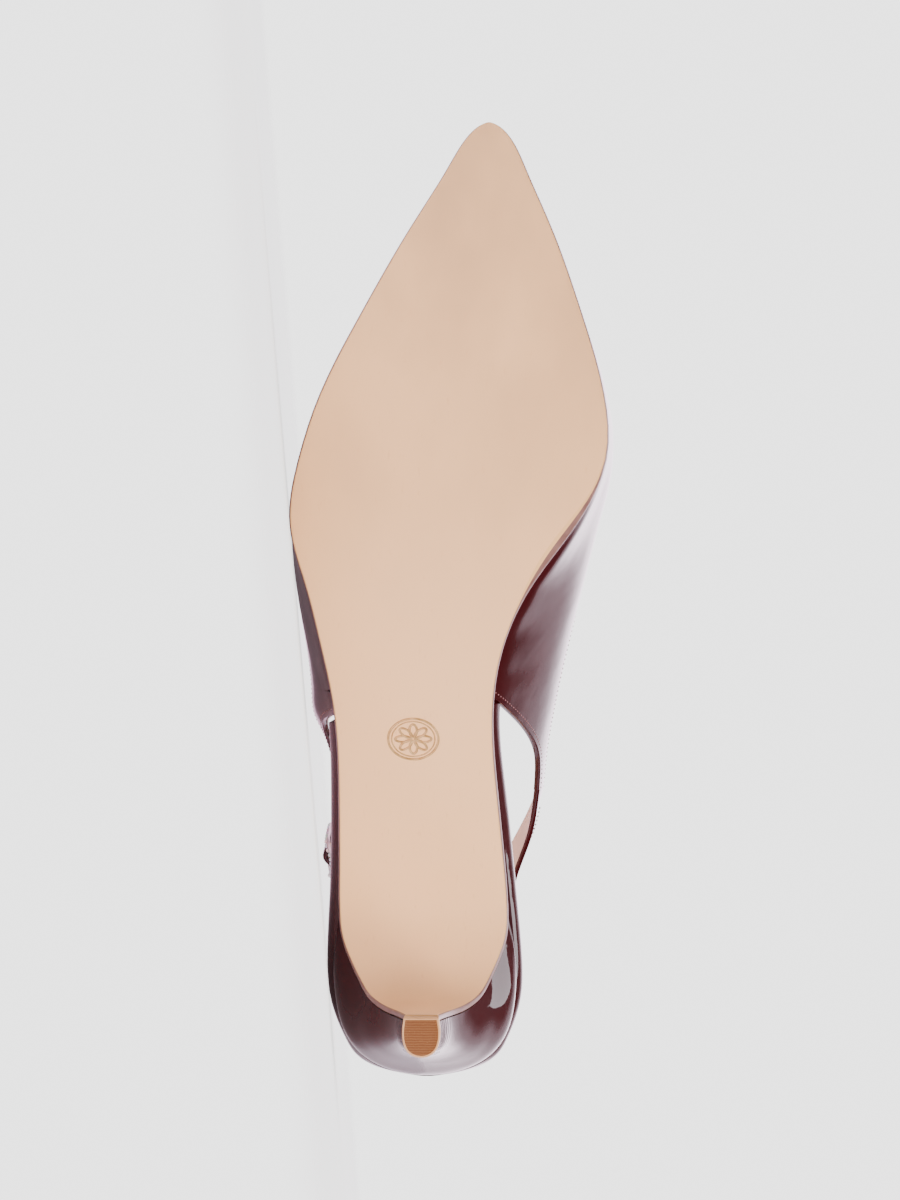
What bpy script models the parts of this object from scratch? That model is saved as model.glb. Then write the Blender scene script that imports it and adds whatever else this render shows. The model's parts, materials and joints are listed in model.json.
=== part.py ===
"""A slingback pump with a pointed toe, a kitten heel and a buckled heel strap: a right shoe, lying on its outer side.

The shoe is worked out upright, in its own frame: x runs from the back of the heel to the toe, y to the
inner side of the foot, z up, with the tread at z = 0. At the end it is laid on its side on the floor.
"""

import math
from collections import namedtuple

import bmesh
import bpy
import numpy as np
from mathutils import Matrix, Vector

MM = 0.001

STEP = 0.1 * MM  # for slopes taken from two near points

# Driving sizes
LENGTH = 252 * MM  # back of the heel seat to the tip of the toe, along the floor
BALL_WIDTH = 80 * MM  # outsole across the ball
SEAT_WIDTH = 52.4 * MM  # insole rim across the heel seat
HEEL_HEIGHT = 50 * MM  # floor to the sole's underside, run back to the end of the seat
TOE_SPRING = 7.5 * MM  # rise of the sole under the toe
INSTEP = 66 * MM  # outside of the upper over the feather line, at the instep
GAP = 0.3 * MM  # clearance between pieces that touch

# Outsole
SOLE_THICKNESS = 2.4 * MM
FLAP_THICKNESS = 1.4 * MM  # the same leather, skived where it covers the heel's breast
FLAP_INSET = 0.2 * MM  # the heel's breast inside the flap's edge
BREAST_GAP = 0.45 * MM  # between the flap and the heel, both curved
LIP = 0.4 * MM  # of the flap in front of the lift
SOLE_BEVEL = 0.7 * MM  # how far the edge is trimmed in at the tread
BEVEL_HEIGHT = 0.45  # of the trimmed edge, as a share of the thickness
BREAST_TOP = 0.2222 * LENGTH  # where the waist turns down into the breast
TREAD_BACK = 0.635 * LENGTH  # the tread lies flat from here
TREAD_FRONT = 0.754 * LENGTH  # to here

# Insole: a covered board with a sock on top
BOARD_THICKNESS = 5.6 * MM  # with its cover and padding, under the heel and waist
BOARD_TOE_THICKNESS = 2.0 * MM
BOARD_THINS = (0.38 * LENGTH, 0.55 * LENGTH)  # it thins down between these
BOARD_TUCK = 1.9 * MM  # its cover runs in under the rim by this much
BOARD_EDGE = 0.3 * MM  # the same inside the upper
BOARD_ROOM = 2.0 * MM  # between its toe and the filled toe of the upper
RIM_END = (0.4 * MM, 2.8 * MM)  # its rim draws in between these distances behind the wing's foot
SOCK_THICKNESS = 1.0 * MM
SOCK_TUCK = 0.5 * MM
SOCK_INSET = 0.9 * MM
SOCK_TOE_INSET = 2.3 * MM  # the same in the toe
SOCK_TOE = 0.8 * LENGTH  # from here on
SOCK_ROOM = 7.0 * MM  # between its toe and the filled toe of the upper

# Upper
WALL = 1.6 * MM  # patent leather and lining
WALL_ROOM = 0.62  # the most of the toe's half width or height that the wall takes up
TOE_TAPER = 60 * MM  # over this length
TOE_FILL = 9 * MM  # the wall thickens to a toe filled this deep
TIP_HEIGHT = 0.8 * MM  # of the very tip over the feather line
FEATHER_INSET = 0.5 * MM  # the upper meets the sole this far inside its edge
THROAT = 0.6825 * LENGTH  # front of the opening, from the back of the heel
WING_END = 0.3055 * LENGTH  # where the wings run out into the strap

# Heel
LIFT_HEIGHT = 5.4 * MM

# Heel strap, and the tab that holds its buckle
STRAP_WIDTH = 9.6 * MM
STRAP_THICKNESS = 1.5 * MM
TAB_WIDTH = 8.6 * MM
TAB_THICKNESS = 1.0 * MM
BAR_BACK = 19 * MM  # from the end of the outer wing back to the buckle's bar
TAIL_LENGTH = 11 * MM  # of strap past the bar
SKEW_RUN = 9 * MM  # the bands turn from the slant of the wing's end to square over this length
JOINT = 1.3 * GAP  # between a wing's end and the band that follows, along the strap's line
FRAME_AHEAD = 5.0 * MM  # the buckle's frame ahead of its bar, to the middle of its side
FRAME_BEHIND = 6.0 * MM
FRAME_WIDTH = 2.0 * MM
FRAME_DEPTH = 1.6 * MM
FRAME_ROOM = 0.7 * MM  # between the strap's edge and the inside of the frame
FRAME_CORNERS = 0.42  # power of the oblong's corners: 1 is an ellipse, 0 a rectangle
FRAME_CREST = 0.4  # height of the frame's shoulders, as a share of half its depth
BAR_RADIUS = 0.6 * MM
BAR_RISE = 0.4 * MM  # above the strap's line
PRONG_RADIUS = 0.45 * MM
BAND_CORNER = 0.6  # of a band's edge, as a share of half its thickness

# Numbers of sections and sides
TOE_STOPS = 15
TREAD_STOPS = 5
WAIST_STOPS = 20
SEAT_STOPS = 5
BREAST_STOPS = 20
HEEL_POINTS = 12
INSOLE_STOPS = (20, 25)  # behind and ahead of the wings' feet
WING_STOPS = 15
THROAT_STOPS = 14
VAMP_STOPS = 21
WALL_ROWS = 12
STRAP_STOPS = 28
TAB_STOPS = 34
TUBE_SIDES = 10
BAR_SIDES = 12
FRAME_STOPS = 36

# The sole's outline: along is a share of LENGTH; centre and half are shares of BALL_WIDTH.
Plan = namedtuple("Plan", "along centre half")
SOLE_PLAN = (
    Plan(0.200, -0.009, 0.282),
    Plan(0.300, -0.021, 0.265),
    Plan(0.400, -0.033, 0.265),
    Plan(0.466, -0.032, 0.305),
    Plan(0.528, -0.006, 0.378),
    Plan(0.589, 0.042, 0.469),
    Plan(0.650, 0.099, 0.499),
    Plan(0.712, 0.129, 0.467),
    Plan(0.794, 0.159, 0.369),
    Plan(0.877, 0.188, 0.251),
    Plan(0.943, 0.208, 0.143),
    Plan(0.975, 0.215, 0.092),
    Plan(1.000, 0.218, 0.000),
)

# The rim of the insole behind the wings: along as above; centre and half are shares of SEAT_WIDTH.
SEAT_PLAN = (
    Plan(0.000, 0.000, 0.000),
    Plan(0.009, -0.001, 0.262),
    Plan(0.038, -0.004, 0.414),
    Plan(0.080, -0.007, 0.487),
    Plan(0.135, -0.012, 0.500),
    Plan(0.200, -0.017, 0.478),
    Plan(0.300, -0.032, 0.447),
    Plan(0.400, -0.052, 0.437),
    Plan(0.460, -0.052, 0.480),
)

# The waist's underside seen from the side: rise is a share of HEEL_HEIGHT.
Rise = namedtuple("Rise", "along rise")
WAIST = (
    Rise(0.000, 1.000),
    Rise(0.100, 0.942),
    Rise(0.200, 0.818),
    Rise(0.300, 0.605),
    Rise(0.400, 0.335),
    Rise(0.500, 0.115),
    Rise(0.5635, 0.028),
)

# Cross-sections of the upper's outer face. along is a share of LENGTH. inner and outer are how far the wall
# stands out past the feather line on each side, ridge how far the crown lies to the inner side of the
# middle, as shares of BALL_WIDTH. belly is the height where it stands out most, crown its top, as shares
# of INSTEP.
Section = namedtuple("Section", "along inner outer ridge belly crown")
UPPER = (
    Section(0.300, 0.146, 0.022, 0.020, 0.370, 1.000),
    Section(0.340, 0.170, 0.043, 0.025, 0.420, 0.995),
    Section(0.365, 0.187, 0.067, 0.027, 0.455, 0.991),
    Section(0.385, 0.200, 0.091, 0.029, 0.478, 0.987),
    Section(0.412, 0.212, 0.089, 0.031, 0.490, 0.980),
    Section(0.466, 0.212, 0.071, 0.036, 0.480, 0.950),
    Section(0.528, 0.163, 0.049, 0.038, 0.440, 0.870),
    Section(0.589, 0.070, 0.008, 0.038, 0.460, 0.730),
    Section(0.650, 0.024, 0.014, 0.034, 0.300, 0.560),
    Section(0.712, 0.014, 0.006, 0.026, 0.200, 0.426),
    Section(0.794, 0.006, 0.004, 0.014, 0.130, 0.311),
    Section(0.877, 0.000, 0.000, 0.006, 0.078, 0.224),
    Section(0.943, 0.000, 0.000, 0.000, 0.055, 0.166),
    Section(0.975, 0.000, 0.000, 0.000, 0.040, 0.122),
    Section(1.000, 0.000, 0.000, 0.000, 0.000, 0.000),
)

# How each section curves between those: out is a share of the way from the feather line, or from the
# ridge, to where the wall stands out most; up is a share of the height of that stretch.
Bend = namedtuple("Bend", "out up")
SIDE_BEND = Bend(0.55, 0.42)
CROWN_BENDS = (Bend(0.80, 0.66), Bend(0.46, 0.915))

# Edges of the upper seen from the side: along as above, height a share of INSTEP over the tread.
Edge = namedtuple("Edge", "along height")
TOPLINE = (
    Edge(0.305, 1.000),
    Edge(0.337, 0.930),
    Edge(0.377, 0.845),
    Edge(0.436, 0.738),
    Edge(0.516, 0.645),
    Edge(0.595, 0.580),
)
REAR_EDGE_INNER = (
    Edge(0.305, 0.826),
    Edge(0.331, 0.780),
    Edge(0.349, 0.735),
    Edge(0.363, 0.667),
    Edge(0.371, 0.583),
    Edge(0.385, 0.485),
    Edge(0.397, 0.405),
    Edge(0.411, 0.250),
)
REAR_EDGE_OUTER = (
    Edge(0.305, 0.826),
    Edge(0.337, 0.785),
    Edge(0.362, 0.715),
    Edge(0.376, 0.620),
    Edge(0.384, 0.500),
    Edge(0.391, 0.270),
)
REAR_EDGE_FRONT = 0.415 * LENGTH  # no rear edge from here on

# The heel from the top lift to the seat. front and back are shares of LENGTH, the heights shares of
# HEEL_HEIGHT, half (the breast's half width) and swell (how much wider it grows behind the breast)
# shares of SEAT_WIDTH.
Level = namedtuple("Level", "front front_height back back_height half swell")
HEEL = (
    Level(0.0814, 0.116, 0.0390, 0.116, 0.086, 0.009),
    Level(0.0817, 0.290, 0.0376, 0.290, 0.122, 0.004),
    Level(0.0829, 0.430, 0.0335, 0.460, 0.170, 0.004),
    Level(0.0865, 0.535, 0.0276, 0.600, 0.225, 0.008),
    Level(0.0950, 0.625, 0.0204, 0.715, 0.285, 0.013),
    Level(0.1100, 0.705, 0.0130, 0.820, 0.334, 0.026),
    Level(0.1330, 0.778, 0.0066, 0.905, 0.388, 0.036),
    Level(0.1560, 0.822, 0.0030, 0.965, 0.424, 0.040),
    Level(0.1780, 0.836, 0.0020, 1.010, 0.432, 0.044),
)
BACK_ROUNDNESS = 4.5  # how late the D-shaped sections begin to round off at the back
BACK_CLOSING = 0.49  # power by which they close there
SWELL_END = 0.45  # share of the section by which it has swollen to its full width

# The insole's rim, from its foot to its top: tuck is how far it draws in, as a share of the tuck under it,
# up a share of the thickness.
Rim = namedtuple("Rim", "tuck up")
INSOLE_RIM = (Rim(1.0, 0.0), Rim(0.15, 0.45), Rim(0.05, 0.80), Rim(0.4, 1.0))

# The strap's middle line between the wings: along is a share of LENGTH, across of BALL_WIDTH, height of
# INSTEP over the tread; lean is how far the band tips in at its top edge, in degrees.
Strap = namedtuple("Strap", "along across height lean")
STRAP = (
    Strap(0.262, 0.3380, 1.005, 9),
    Strap(0.222, 0.2830, 1.095, 14),
    Strap(0.165, 0.2380, 1.215, 14),
    Strap(0.108, 0.1780, 1.335, 14),
    Strap(0.056, 0.1120, 1.425, 13),
    Strap(0.026, 0.0480, 1.472, 12),
    Strap(0.020, 0.0000, 1.480, 12),
    Strap(0.026, -0.0480, 1.472, 12),
    Strap(0.056, -0.1080, 1.425, 13),
    Strap(0.108, -0.1680, 1.335, 14),
    Strap(0.165, -0.2280, 1.215, 13),
    Strap(0.215, -0.2780, 1.105, 8),
    Strap(0.262, -0.2950, 1.005, 5),
)

# How the strap runs through its buckle and the tab round the bar: run is measured from the bar towards the
# end of the strap, in shares of FRAME_AHEAD in front of the bar and of FRAME_BEHIND behind it; rise is a
# share of the strap's height over the bar, and of the tab's depth under the strap.
Stop = namedtuple("Stop", "run rise")
STRAP_STOPS_BEHIND = (Stop(-1.0, -0.02), Stop(-0.76, 0.02), Stop(-0.48, 0.46), Stop(-0.22, 0.88))
STRAP_STOPS_AHEAD = (Stop(0.0, 1.05), Stop(0.26, 0.91), Stop(0.52, 0.42), Stop(0.76, 0.0), Stop(1.0, -0.04))
TAIL_RISES = (-0.02, 0.03)  # at the frame's front edge and at the tail's end
TAB_START = (Stop(0.12, -0.35), Stop(0.30, -1.08))  # run from the wing, in shares of BAR_BACK
TAB_STOPS_AHEAD = (
    Stop(1.35, -1.22),
    Stop(1.00, -1.30),
    Stop(0.74, -1.28),
    Stop(0.50, -0.66),
    Stop(0.30, 0.34),
)
TAB_TURNS = (62, 90, 125, 160, 195, 230, 262)  # degrees round the bar
TAB_END = Stop(0.30, -1.12)  # its rise is a share of the loop's radius
PRONG_TURNS = (-110, -75, -40, -5, 30, 60, 90, 108)
PRONG_STOPS = (Stop(-0.45, 0.80), Stop(-0.80, 1.0))  # rise is a share of the prong's height over the frame

# Density in kg per cubic metre, for the point it balances on
DENSITY = {"patent": 900, "sole_leather": 900, "lift": 1200, "buckle_metal": 7850}


def smooth(xs, ys, start=None, end=None):
    """A cubic through the points with no jump in slope or bend; start and end fix its slope there."""
    x, y = np.array(xs, float), np.array(ys, float)
    n, h = len(x), np.diff(x)
    rise = np.diff(y) / h
    matrix, right = np.zeros((n, n)), np.zeros(n)
    for i in range(1, n - 1):
        matrix[i, i - 1 : i + 2] = h[i - 1], 2 * (h[i - 1] + h[i]), h[i]
        right[i] = 3 * (rise[i] - rise[i - 1])
    matrix[0, 0] = matrix[-1, -1] = 1
    if start is not None:
        matrix[0, :2] = 2 * h[0], h[0]
        right[0] = 3 * (rise[0] - start)
    if end is not None:
        matrix[-1, -2:] = h[-1], 2 * h[-1]
        right[-1] = 3 * (end - rise[-1])
    bend = np.linalg.solve(matrix, right)
    slope = rise - h * (2 * bend[:-1] + bend[1:]) / 3
    twist = np.diff(bend) / (3 * h)

    def value(at):
        i = int(np.clip(np.searchsorted(x, at) - 1, 0, n - 2))
        u = at - x[i]
        return float(y[i] + u * (slope[i] + u * (bend[i] + u * twist[i])))

    return value


def column(table, name, size):
    """A column of a table as a function of x."""
    return smooth([row.along * LENGTH for row in table], [getattr(row, name) * size for row in table])


def round_column(table, name, size):
    """The same for a width or height that closes at the toe or the back: its square is blended, so the
    end comes out round."""
    squares = smooth(
        [row.along * LENGTH for row in table], [(getattr(row, name) * size) ** 2 for row in table]
    )
    return lambda x: math.sqrt(max(squares(x), 0.0))


sole_centre = column(SOLE_PLAN, "centre", BALL_WIDTH)
sole_half = round_column(SOLE_PLAN, "half", BALL_WIDTH)
seat_centre = column(SEAT_PLAN, "centre", SEAT_WIDTH)
seat_half = round_column(SEAT_PLAN, "half", SEAT_WIDTH)
waist_rise = smooth(
    [row.along * LENGTH for row in WAIST] + [TREAD_BACK],
    [row.rise * HEEL_HEIGHT for row in WAIST] + [0.0],
    end=0.0,
)
topline = column(TOPLINE, "height", INSTEP)
rear_edge = {1: column(REAR_EDGE_INNER, "height", INSTEP), -1: column(REAR_EDGE_OUTER, "height", INSTEP)}
wall_out = {1: column(UPPER, "inner", BALL_WIDTH), -1: column(UPPER, "outer", BALL_WIDTH)}
ridge_shift = column(UPPER, "ridge", BALL_WIDTH)
belly_height = round_column(UPPER, "belly", INSTEP)
crown_height = round_column(UPPER, "crown", INSTEP)


def underside(x):
    """Height of the outsole's lower face."""
    if x < TREAD_BACK:
        return waist_rise(x)
    if x < TREAD_FRONT:
        return 0.0
    return TOE_SPRING * ((x - TREAD_FRONT) / (LENGTH - TREAD_FRONT)) ** 2


def feather(x):
    """Height of the outsole's upper face, where upper and insole begin."""
    slope = (underside(x + STEP) - underside(x - STEP)) / (2 * STEP)
    return underside(x) + SOLE_THICKNESS * math.hypot(1, slope)


def spread(low, high, count, ends=""):
    """Count values from low to high, closer together at the ends named: "low", "high" or "both"."""
    shares = [i / (count - 1) for i in range(count)]
    ease = {
        "": lambda t: t,
        "low": lambda t: 1 - math.cos(t * math.pi / 2),
        "high": lambda t: math.sin(t * math.pi / 2),
        "both": lambda t: (1 - math.cos(t * math.pi)) / 2,
    }[ends]
    return [low + (high - low) * ease(t) for t in shares]


def material(name, colour, roughness, metallic=0.0):
    made = bpy.data.materials.new(name)
    made.use_nodes = True
    shader = made.node_tree.nodes["Principled BSDF"]
    shader.inputs["Base Color"].default_value = (*colour, 1.0)
    shader.inputs["Roughness"].default_value = roughness
    shader.inputs["Metallic"].default_value = metallic
    made.diffuse_color = (*colour, 1.0)
    return made


def finish(name, form, collection, look):
    """Turns a bmesh into a named object with its faces pointing out."""
    bmesh.ops.remove_doubles(form, verts=form.verts, dist=1e-7)
    bmesh.ops.recalc_face_normals(form, faces=form.faces)
    if form.calc_volume(signed=True) < 0:
        bmesh.ops.reverse_faces(form, faces=form.faces)
    mesh = bpy.data.meshes.new(name)
    form.to_mesh(mesh)
    form.free()
    mesh.shade_smooth()
    mesh.set_sharp_from_angle(angle=math.radians(35))
    if look:
        mesh.materials.append(look)
    made = bpy.data.objects.new(name, mesh)
    collection.objects.link(made)
    return made


def loft(rings):
    """A closed bmesh through rings of as many points each, capped at both ends."""
    form = bmesh.new()
    rows = [[form.verts.new(point) for point in ring] for ring in rings]
    count = len(rows[0])
    for low, high in zip(rows, rows[1:]):
        for i in range(count):
            j = (i + 1) % count
            form.faces.new((low[i], low[j], high[j], high[i]))
    form.faces.new(rows[0])
    form.faces.new(rows[-1])
    return form


# Outsole


def breast_line():
    """The sole's underside from the waist, over the arch and down the breast to the lift, as functions of
    the run along it: (x, height, half width, length)."""
    here = BREAST_TOP
    slope = (underside(here) - underside(here + STEP)) / STEP
    points = [(here, underside(here), sole_half(here))]
    for row in reversed(HEEL):
        points.append((row.front * LENGTH, row.front_height * HEEL_HEIGHT, row.half * SEAT_WIDTH))
    run = [0.0]
    for a, b in zip(points, points[1:]):
        run.append(run[-1] + math.hypot(b[0] - a[0], b[1] - a[1]))
    level = math.hypot(1, slope)
    x = smooth(run, [p[0] for p in points], start=-1 / level)
    z = smooth(run, [p[1] for p in points], start=slope / level)
    half = smooth(run, [p[2] for p in points])
    return x, z, half, run


def breast_frame(at):
    """Point and outward direction of the breast's face at a run along it, and its half width."""
    x, z, half, run = BREAST
    low, high = max(at - STEP, 0), min(at + STEP, run[-1])
    along = Vector((x(high) - x(low), 0, z(high) - z(low))).normalized()
    return Vector((x(at), 0, z(at))), Vector((-along.z, 0, along.x)), half(at)


BREAST = breast_line()


def breast_centre(x):
    """The heel's middle line meets the sole's at the breast."""
    share = min(max((x - HEEL[0].front * LENGTH) / (BREAST_TOP - HEEL[0].front * LENGTH), 0), 1)
    return share * sole_centre(BREAST_TOP)


def sole_ring(point, inward, centre, half, thickness):
    """Section of the outsole: flat tread, trimmed edge and upper face."""
    bevel = min(SOLE_BEVEL, half / 3)
    shape = (
        (half - bevel, 0),
        (half, BEVEL_HEIGHT),
        (half, 1),
        (0, 1),
        (-half, 1),
        (-half, BEVEL_HEIGHT),
        (-half + bevel, 0),
        (0, 0),
    )
    return [point + Vector((0, centre + y, 0)) + inward * (share * thickness) for y, share in shape]


def breast_stops():
    """Where the sole and the heel have their sections, from the seat down to the lift."""
    return spread(BREAST[3][1], BREAST[3][-1], BREAST_STOPS)


def flap_thickness(at):
    """The sole fills the wedge under the insole where it turns down, then thins over the breast."""
    seat = BREAST[3][1]
    point, out, half = breast_frame(min(at, seat))
    full = (feather(point.x) - point.z) * abs(out.z) - 2 * GAP * min(at, seat) / seat
    share = min(max((at - seat) / (BREAST[3][4] - seat), 0), 1)
    return full + (FLAP_THICKNESS - full) * share * share * (3 - 2 * share)


def outsole_rings():
    rings = []
    stations = spread(LENGTH - STEP, TREAD_FRONT, TOE_STOPS, "low")
    stations += spread(TREAD_FRONT, TREAD_BACK, TREAD_STOPS)[1:]
    stations += spread(TREAD_BACK, BREAST_TOP, WAIST_STOPS)[1:]
    for x in stations:
        low, high = x - STEP, min(x + STEP, LENGTH)
        along = Vector((high - low, 0, underside(high) - underside(low))).normalized()
        up = Vector((-along.z, 0, along.x))
        if TREAD_BACK <= x <= TREAD_FRONT:
            up = Vector((0, 0, 1))
        rings.append(
            sole_ring(Vector((x, 0, underside(x))), up, sole_centre(x), sole_half(x), SOLE_THICKNESS)
        )
    for at in spread(0, BREAST[3][1], SEAT_STOPS)[1:] + breast_stops()[1:]:
        point, out, half = breast_frame(at)
        rings.append(sole_ring(point, -out, breast_centre(point.x), half, flap_thickness(at)))
    return rings


# Heel


def d_outline(front, back, half, swell, count):
    """Half of a D-shaped section, from the breast's corner round to the back: (x, y) points."""
    points = []
    for share in spread(0, 1, count, "high"):
        wide = half + swell * math.sin(min(share / SWELL_END, 1) * math.pi / 2)
        closing = (1 - share**BACK_ROUNDNESS) ** BACK_CLOSING
        points.append((front + (back - front) * share, wide * closing))
    return points


def d_ring(front, back, half, swell, heights, top=None):
    """A whole D-shaped section; its height runs from the front's to the back's, or follows top(x)."""
    outline = d_outline(front, back, half, swell, HEEL_POINTS)
    ring = []
    for x, y in outline + [(x, -y) for x, y in reversed(outline[:-1])]:
        share = (front - x) / (front - back)
        height = heights[0] + (heights[1] - heights[0]) * share
        middle = breast_centre(front) * (1 - share)
        ring.append(Vector((x, middle + y, top(x) if top else height)))
    ring += [Vector((front, breast_centre(front) - half * side / 3, ring[0].z)) for side in (-1, 1)]
    return ring


def heel_rings():
    """Sections from the lift up to the seat, their fronts held behind the sole's flap."""
    rows = HEEL[::-1]
    back = smooth(BREAST[3][1:], [row.back * LENGTH for row in rows])
    height = smooth(BREAST[3][1:], [row.back_height * HEEL_HEIGHT for row in rows])
    swell = smooth(BREAST[3][1:], [row.swell * SEAT_WIDTH for row in rows])
    stops = breast_stops()[::-1]
    rings = []
    for at in stops:
        point, out, half = breast_frame(at)
        front = point - out * (flap_thickness(at) + BREAST_GAP)
        heights = (front.z, height(at))
        if at == stops[0]:
            heights = (LIFT_HEIGHT + GAP, LIFT_HEIGHT + GAP)
        top = feather if at == stops[-1] else None
        rings.append(d_ring(front.x, back(at), half - FLAP_INSET, swell(at), heights, top))
    return rings


def lift_rings():
    first = HEEL[0]
    half, swell = first.half * SEAT_WIDTH, first.swell * SEAT_WIDTH
    front, back = first.front * LENGTH - LIP, first.back * LENGTH
    return [d_ring(front, back, half, swell, (z, z)) for z in (0.0, LIFT_HEIGHT)]


# Insole


def upper_foot(x):
    """Where the upper's outer face meets the sole, across from the middle."""
    return max(sole_half(x) - FEATHER_INSET, 2 * STEP)


def board_edge(x, side):
    """y of the board's edge: its own rim behind the wing, inside the upper in front of it."""
    inside = sole_centre(x) + side * max(upper_foot(x) - WALL - 2 * GAP, GAP)
    low, high = rim_end(side)
    if x >= high:
        return inside
    rim = seat_centre(x) + side * seat_half(x)
    share = max((x - low) / (high - low), 0)
    return rim + (inside - rim) * share


def rim_end(side):
    """Over this stretch the board's edge draws in to pass inside the wing."""
    edge = REAR_EDGE_INNER if side > 0 else REAR_EDGE_OUTER
    start = edge[-1].along * LENGTH
    return start - RIM_END[1], start - RIM_END[0]


def board_thickness(x):
    start, end = BOARD_THINS
    share = min(max((x - start) / (end - start), 0), 1)
    return BOARD_THICKNESS + (BOARD_TOE_THICKNESS - BOARD_THICKNESS) * share * share * (3 - 2 * share)


def insole_ring(x, low, high, edge, tuck):
    """Section of a layer of the insole, its lower corners tucked in under the rim."""
    inner, outer = edge(x, 1), edge(x, -1)
    middle = (inner + outer) / 2
    tuck = min(tuck, (inner - outer) / 6)
    depth = high - low
    points = [(inner - rim.tuck * tuck, low + rim.up * depth) for rim in INSOLE_RIM]
    points.append((middle, high))
    points += [(outer + rim.tuck * tuck, low + rim.up * depth) for rim in INSOLE_RIM[::-1]]
    points.append((middle, low))
    return [Vector((x, y, z)) for y, z in points]


def insole_stations(front):
    steps = sorted(rim_end(-1) + rim_end(1))
    behind = spread(STEP, steps[0], INSOLE_STOPS[0], "low")
    ahead = spread(steps[-1], front, INSOLE_STOPS[1])
    return behind + steps[1:-1] + ahead


def board_rings():
    rings = []
    for x in insole_stations(LENGTH - TOE_FILL - BOARD_ROOM):
        low = feather(x) + GAP
        tuck = BOARD_TUCK if x < rim_end(1)[1] else BOARD_EDGE
        rings.append(insole_ring(x, low, low + board_thickness(x), board_edge, tuck))
    return rings


def sock_edge(x, side):
    inset = SOCK_INSET if x < SOCK_TOE else SOCK_TOE_INSET
    return board_edge(x, side) - side * inset


def sock_rings():
    rings = []
    for x in insole_stations(LENGTH - TOE_FILL - SOCK_ROOM)[2:]:
        low = feather(x) + board_thickness(x) + 2 * GAP
        rings.append(insole_ring(x, low, low + SOCK_THICKNESS, sock_edge, SOCK_TUCK))
    return rings


# Upper


def half_section(x, side):
    """One side of the upper's outer face at x, from the feather line to the crown, as functions of a
    share from 0 to 1: (across, height)."""
    foot = upper_foot(x)
    out = foot + wall_out[side](x)
    belly, crown = belly_height(x), crown_height(x)
    ridge = side * ridge_shift(x)
    points = [(foot, 0), (foot + SIDE_BEND.out * (out - foot), SIDE_BEND.up * belly), (out, belly)]
    for bend in CROWN_BENDS:
        points.append((ridge + bend.out * (out - ridge), belly + bend.up * (crown - belly)))
    points.append((ridge, crown))
    run = [0.0]
    for a, b in zip(points, points[1:]):
        run.append(run[-1] + math.hypot(b[0] - a[0], b[1] - a[1]))
    shares = [r / run[-1] for r in run]
    across = smooth(shares, [p[0] for p in points], end=-run[-1])
    height = smooth(shares, [p[1] for p in points], end=0.0)
    return across, height


def upper_point(x, side, share, section, depth=0.0):
    """A point of the upper's wall at x: depth 0 is its outer face."""
    across, height = section
    low, high = max(share - 0.004, 0), min(share + 0.004, 1)
    along = Vector((across(high) - across(low), height(high) - height(low))).normalized()
    y = across(share) - along.y * depth
    z = height(share) + along.x * depth
    if share == 1:
        y, z = across(1), height(1) - depth
    return Vector((x, sole_centre(x) + side * y, feather(x) + GAP + z))


def share_at(x, side, z, section):
    """The share of the section where it reaches the height z."""
    low, high = 0.0, 1.0
    for _ in range(24):
        middle = (low + high) / 2
        if upper_point(x, side, middle, section).z < z:
            low = middle
        else:
            high = middle
    return low


def throat_lift(x):
    """Brings the topline up to the crown at the throat."""
    crown = feather(THROAT) + GAP + crown_height(THROAT)
    start = TOPLINE[-3].along * LENGTH
    share = max((x - start) / (THROAT - start), 0)
    return (crown - topline(THROAT)) * share**2


def upper_column(x, side, count, depth):
    """Points up the wall on one side at x, between its lower and its upper edge."""
    section = half_section(x, side)
    low, high = 0.0, 1.0
    if x < THROAT:
        high = share_at(x, side, topline(x) + throat_lift(x), section)
    foot = rear_edge[side](x) if x < REAR_EDGE_FRONT else 0.0
    if foot > feather(x) + GAP:
        low = share_at(x, side, foot, section)
    shares = [low + (high - low) * i / (count - 1) for i in range(count)]
    return [upper_point(x, side, share, section, depth) for share in shares]


def inner_x(x):
    """Where the wall's inner face has its station: it stops short of the toe, which is filled."""
    start = LENGTH - TOE_TAPER
    if x < start:
        return x
    share = (x - start) / TOE_TAPER
    return start + (TOE_TAPER - TOE_FILL) * share


def inner_depth(x):
    """The wall's thickness, less where the toe leaves no room for it."""
    return min(WALL, WALL_ROOM * upper_foot(x), WALL_ROOM * crown_height(x))


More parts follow.
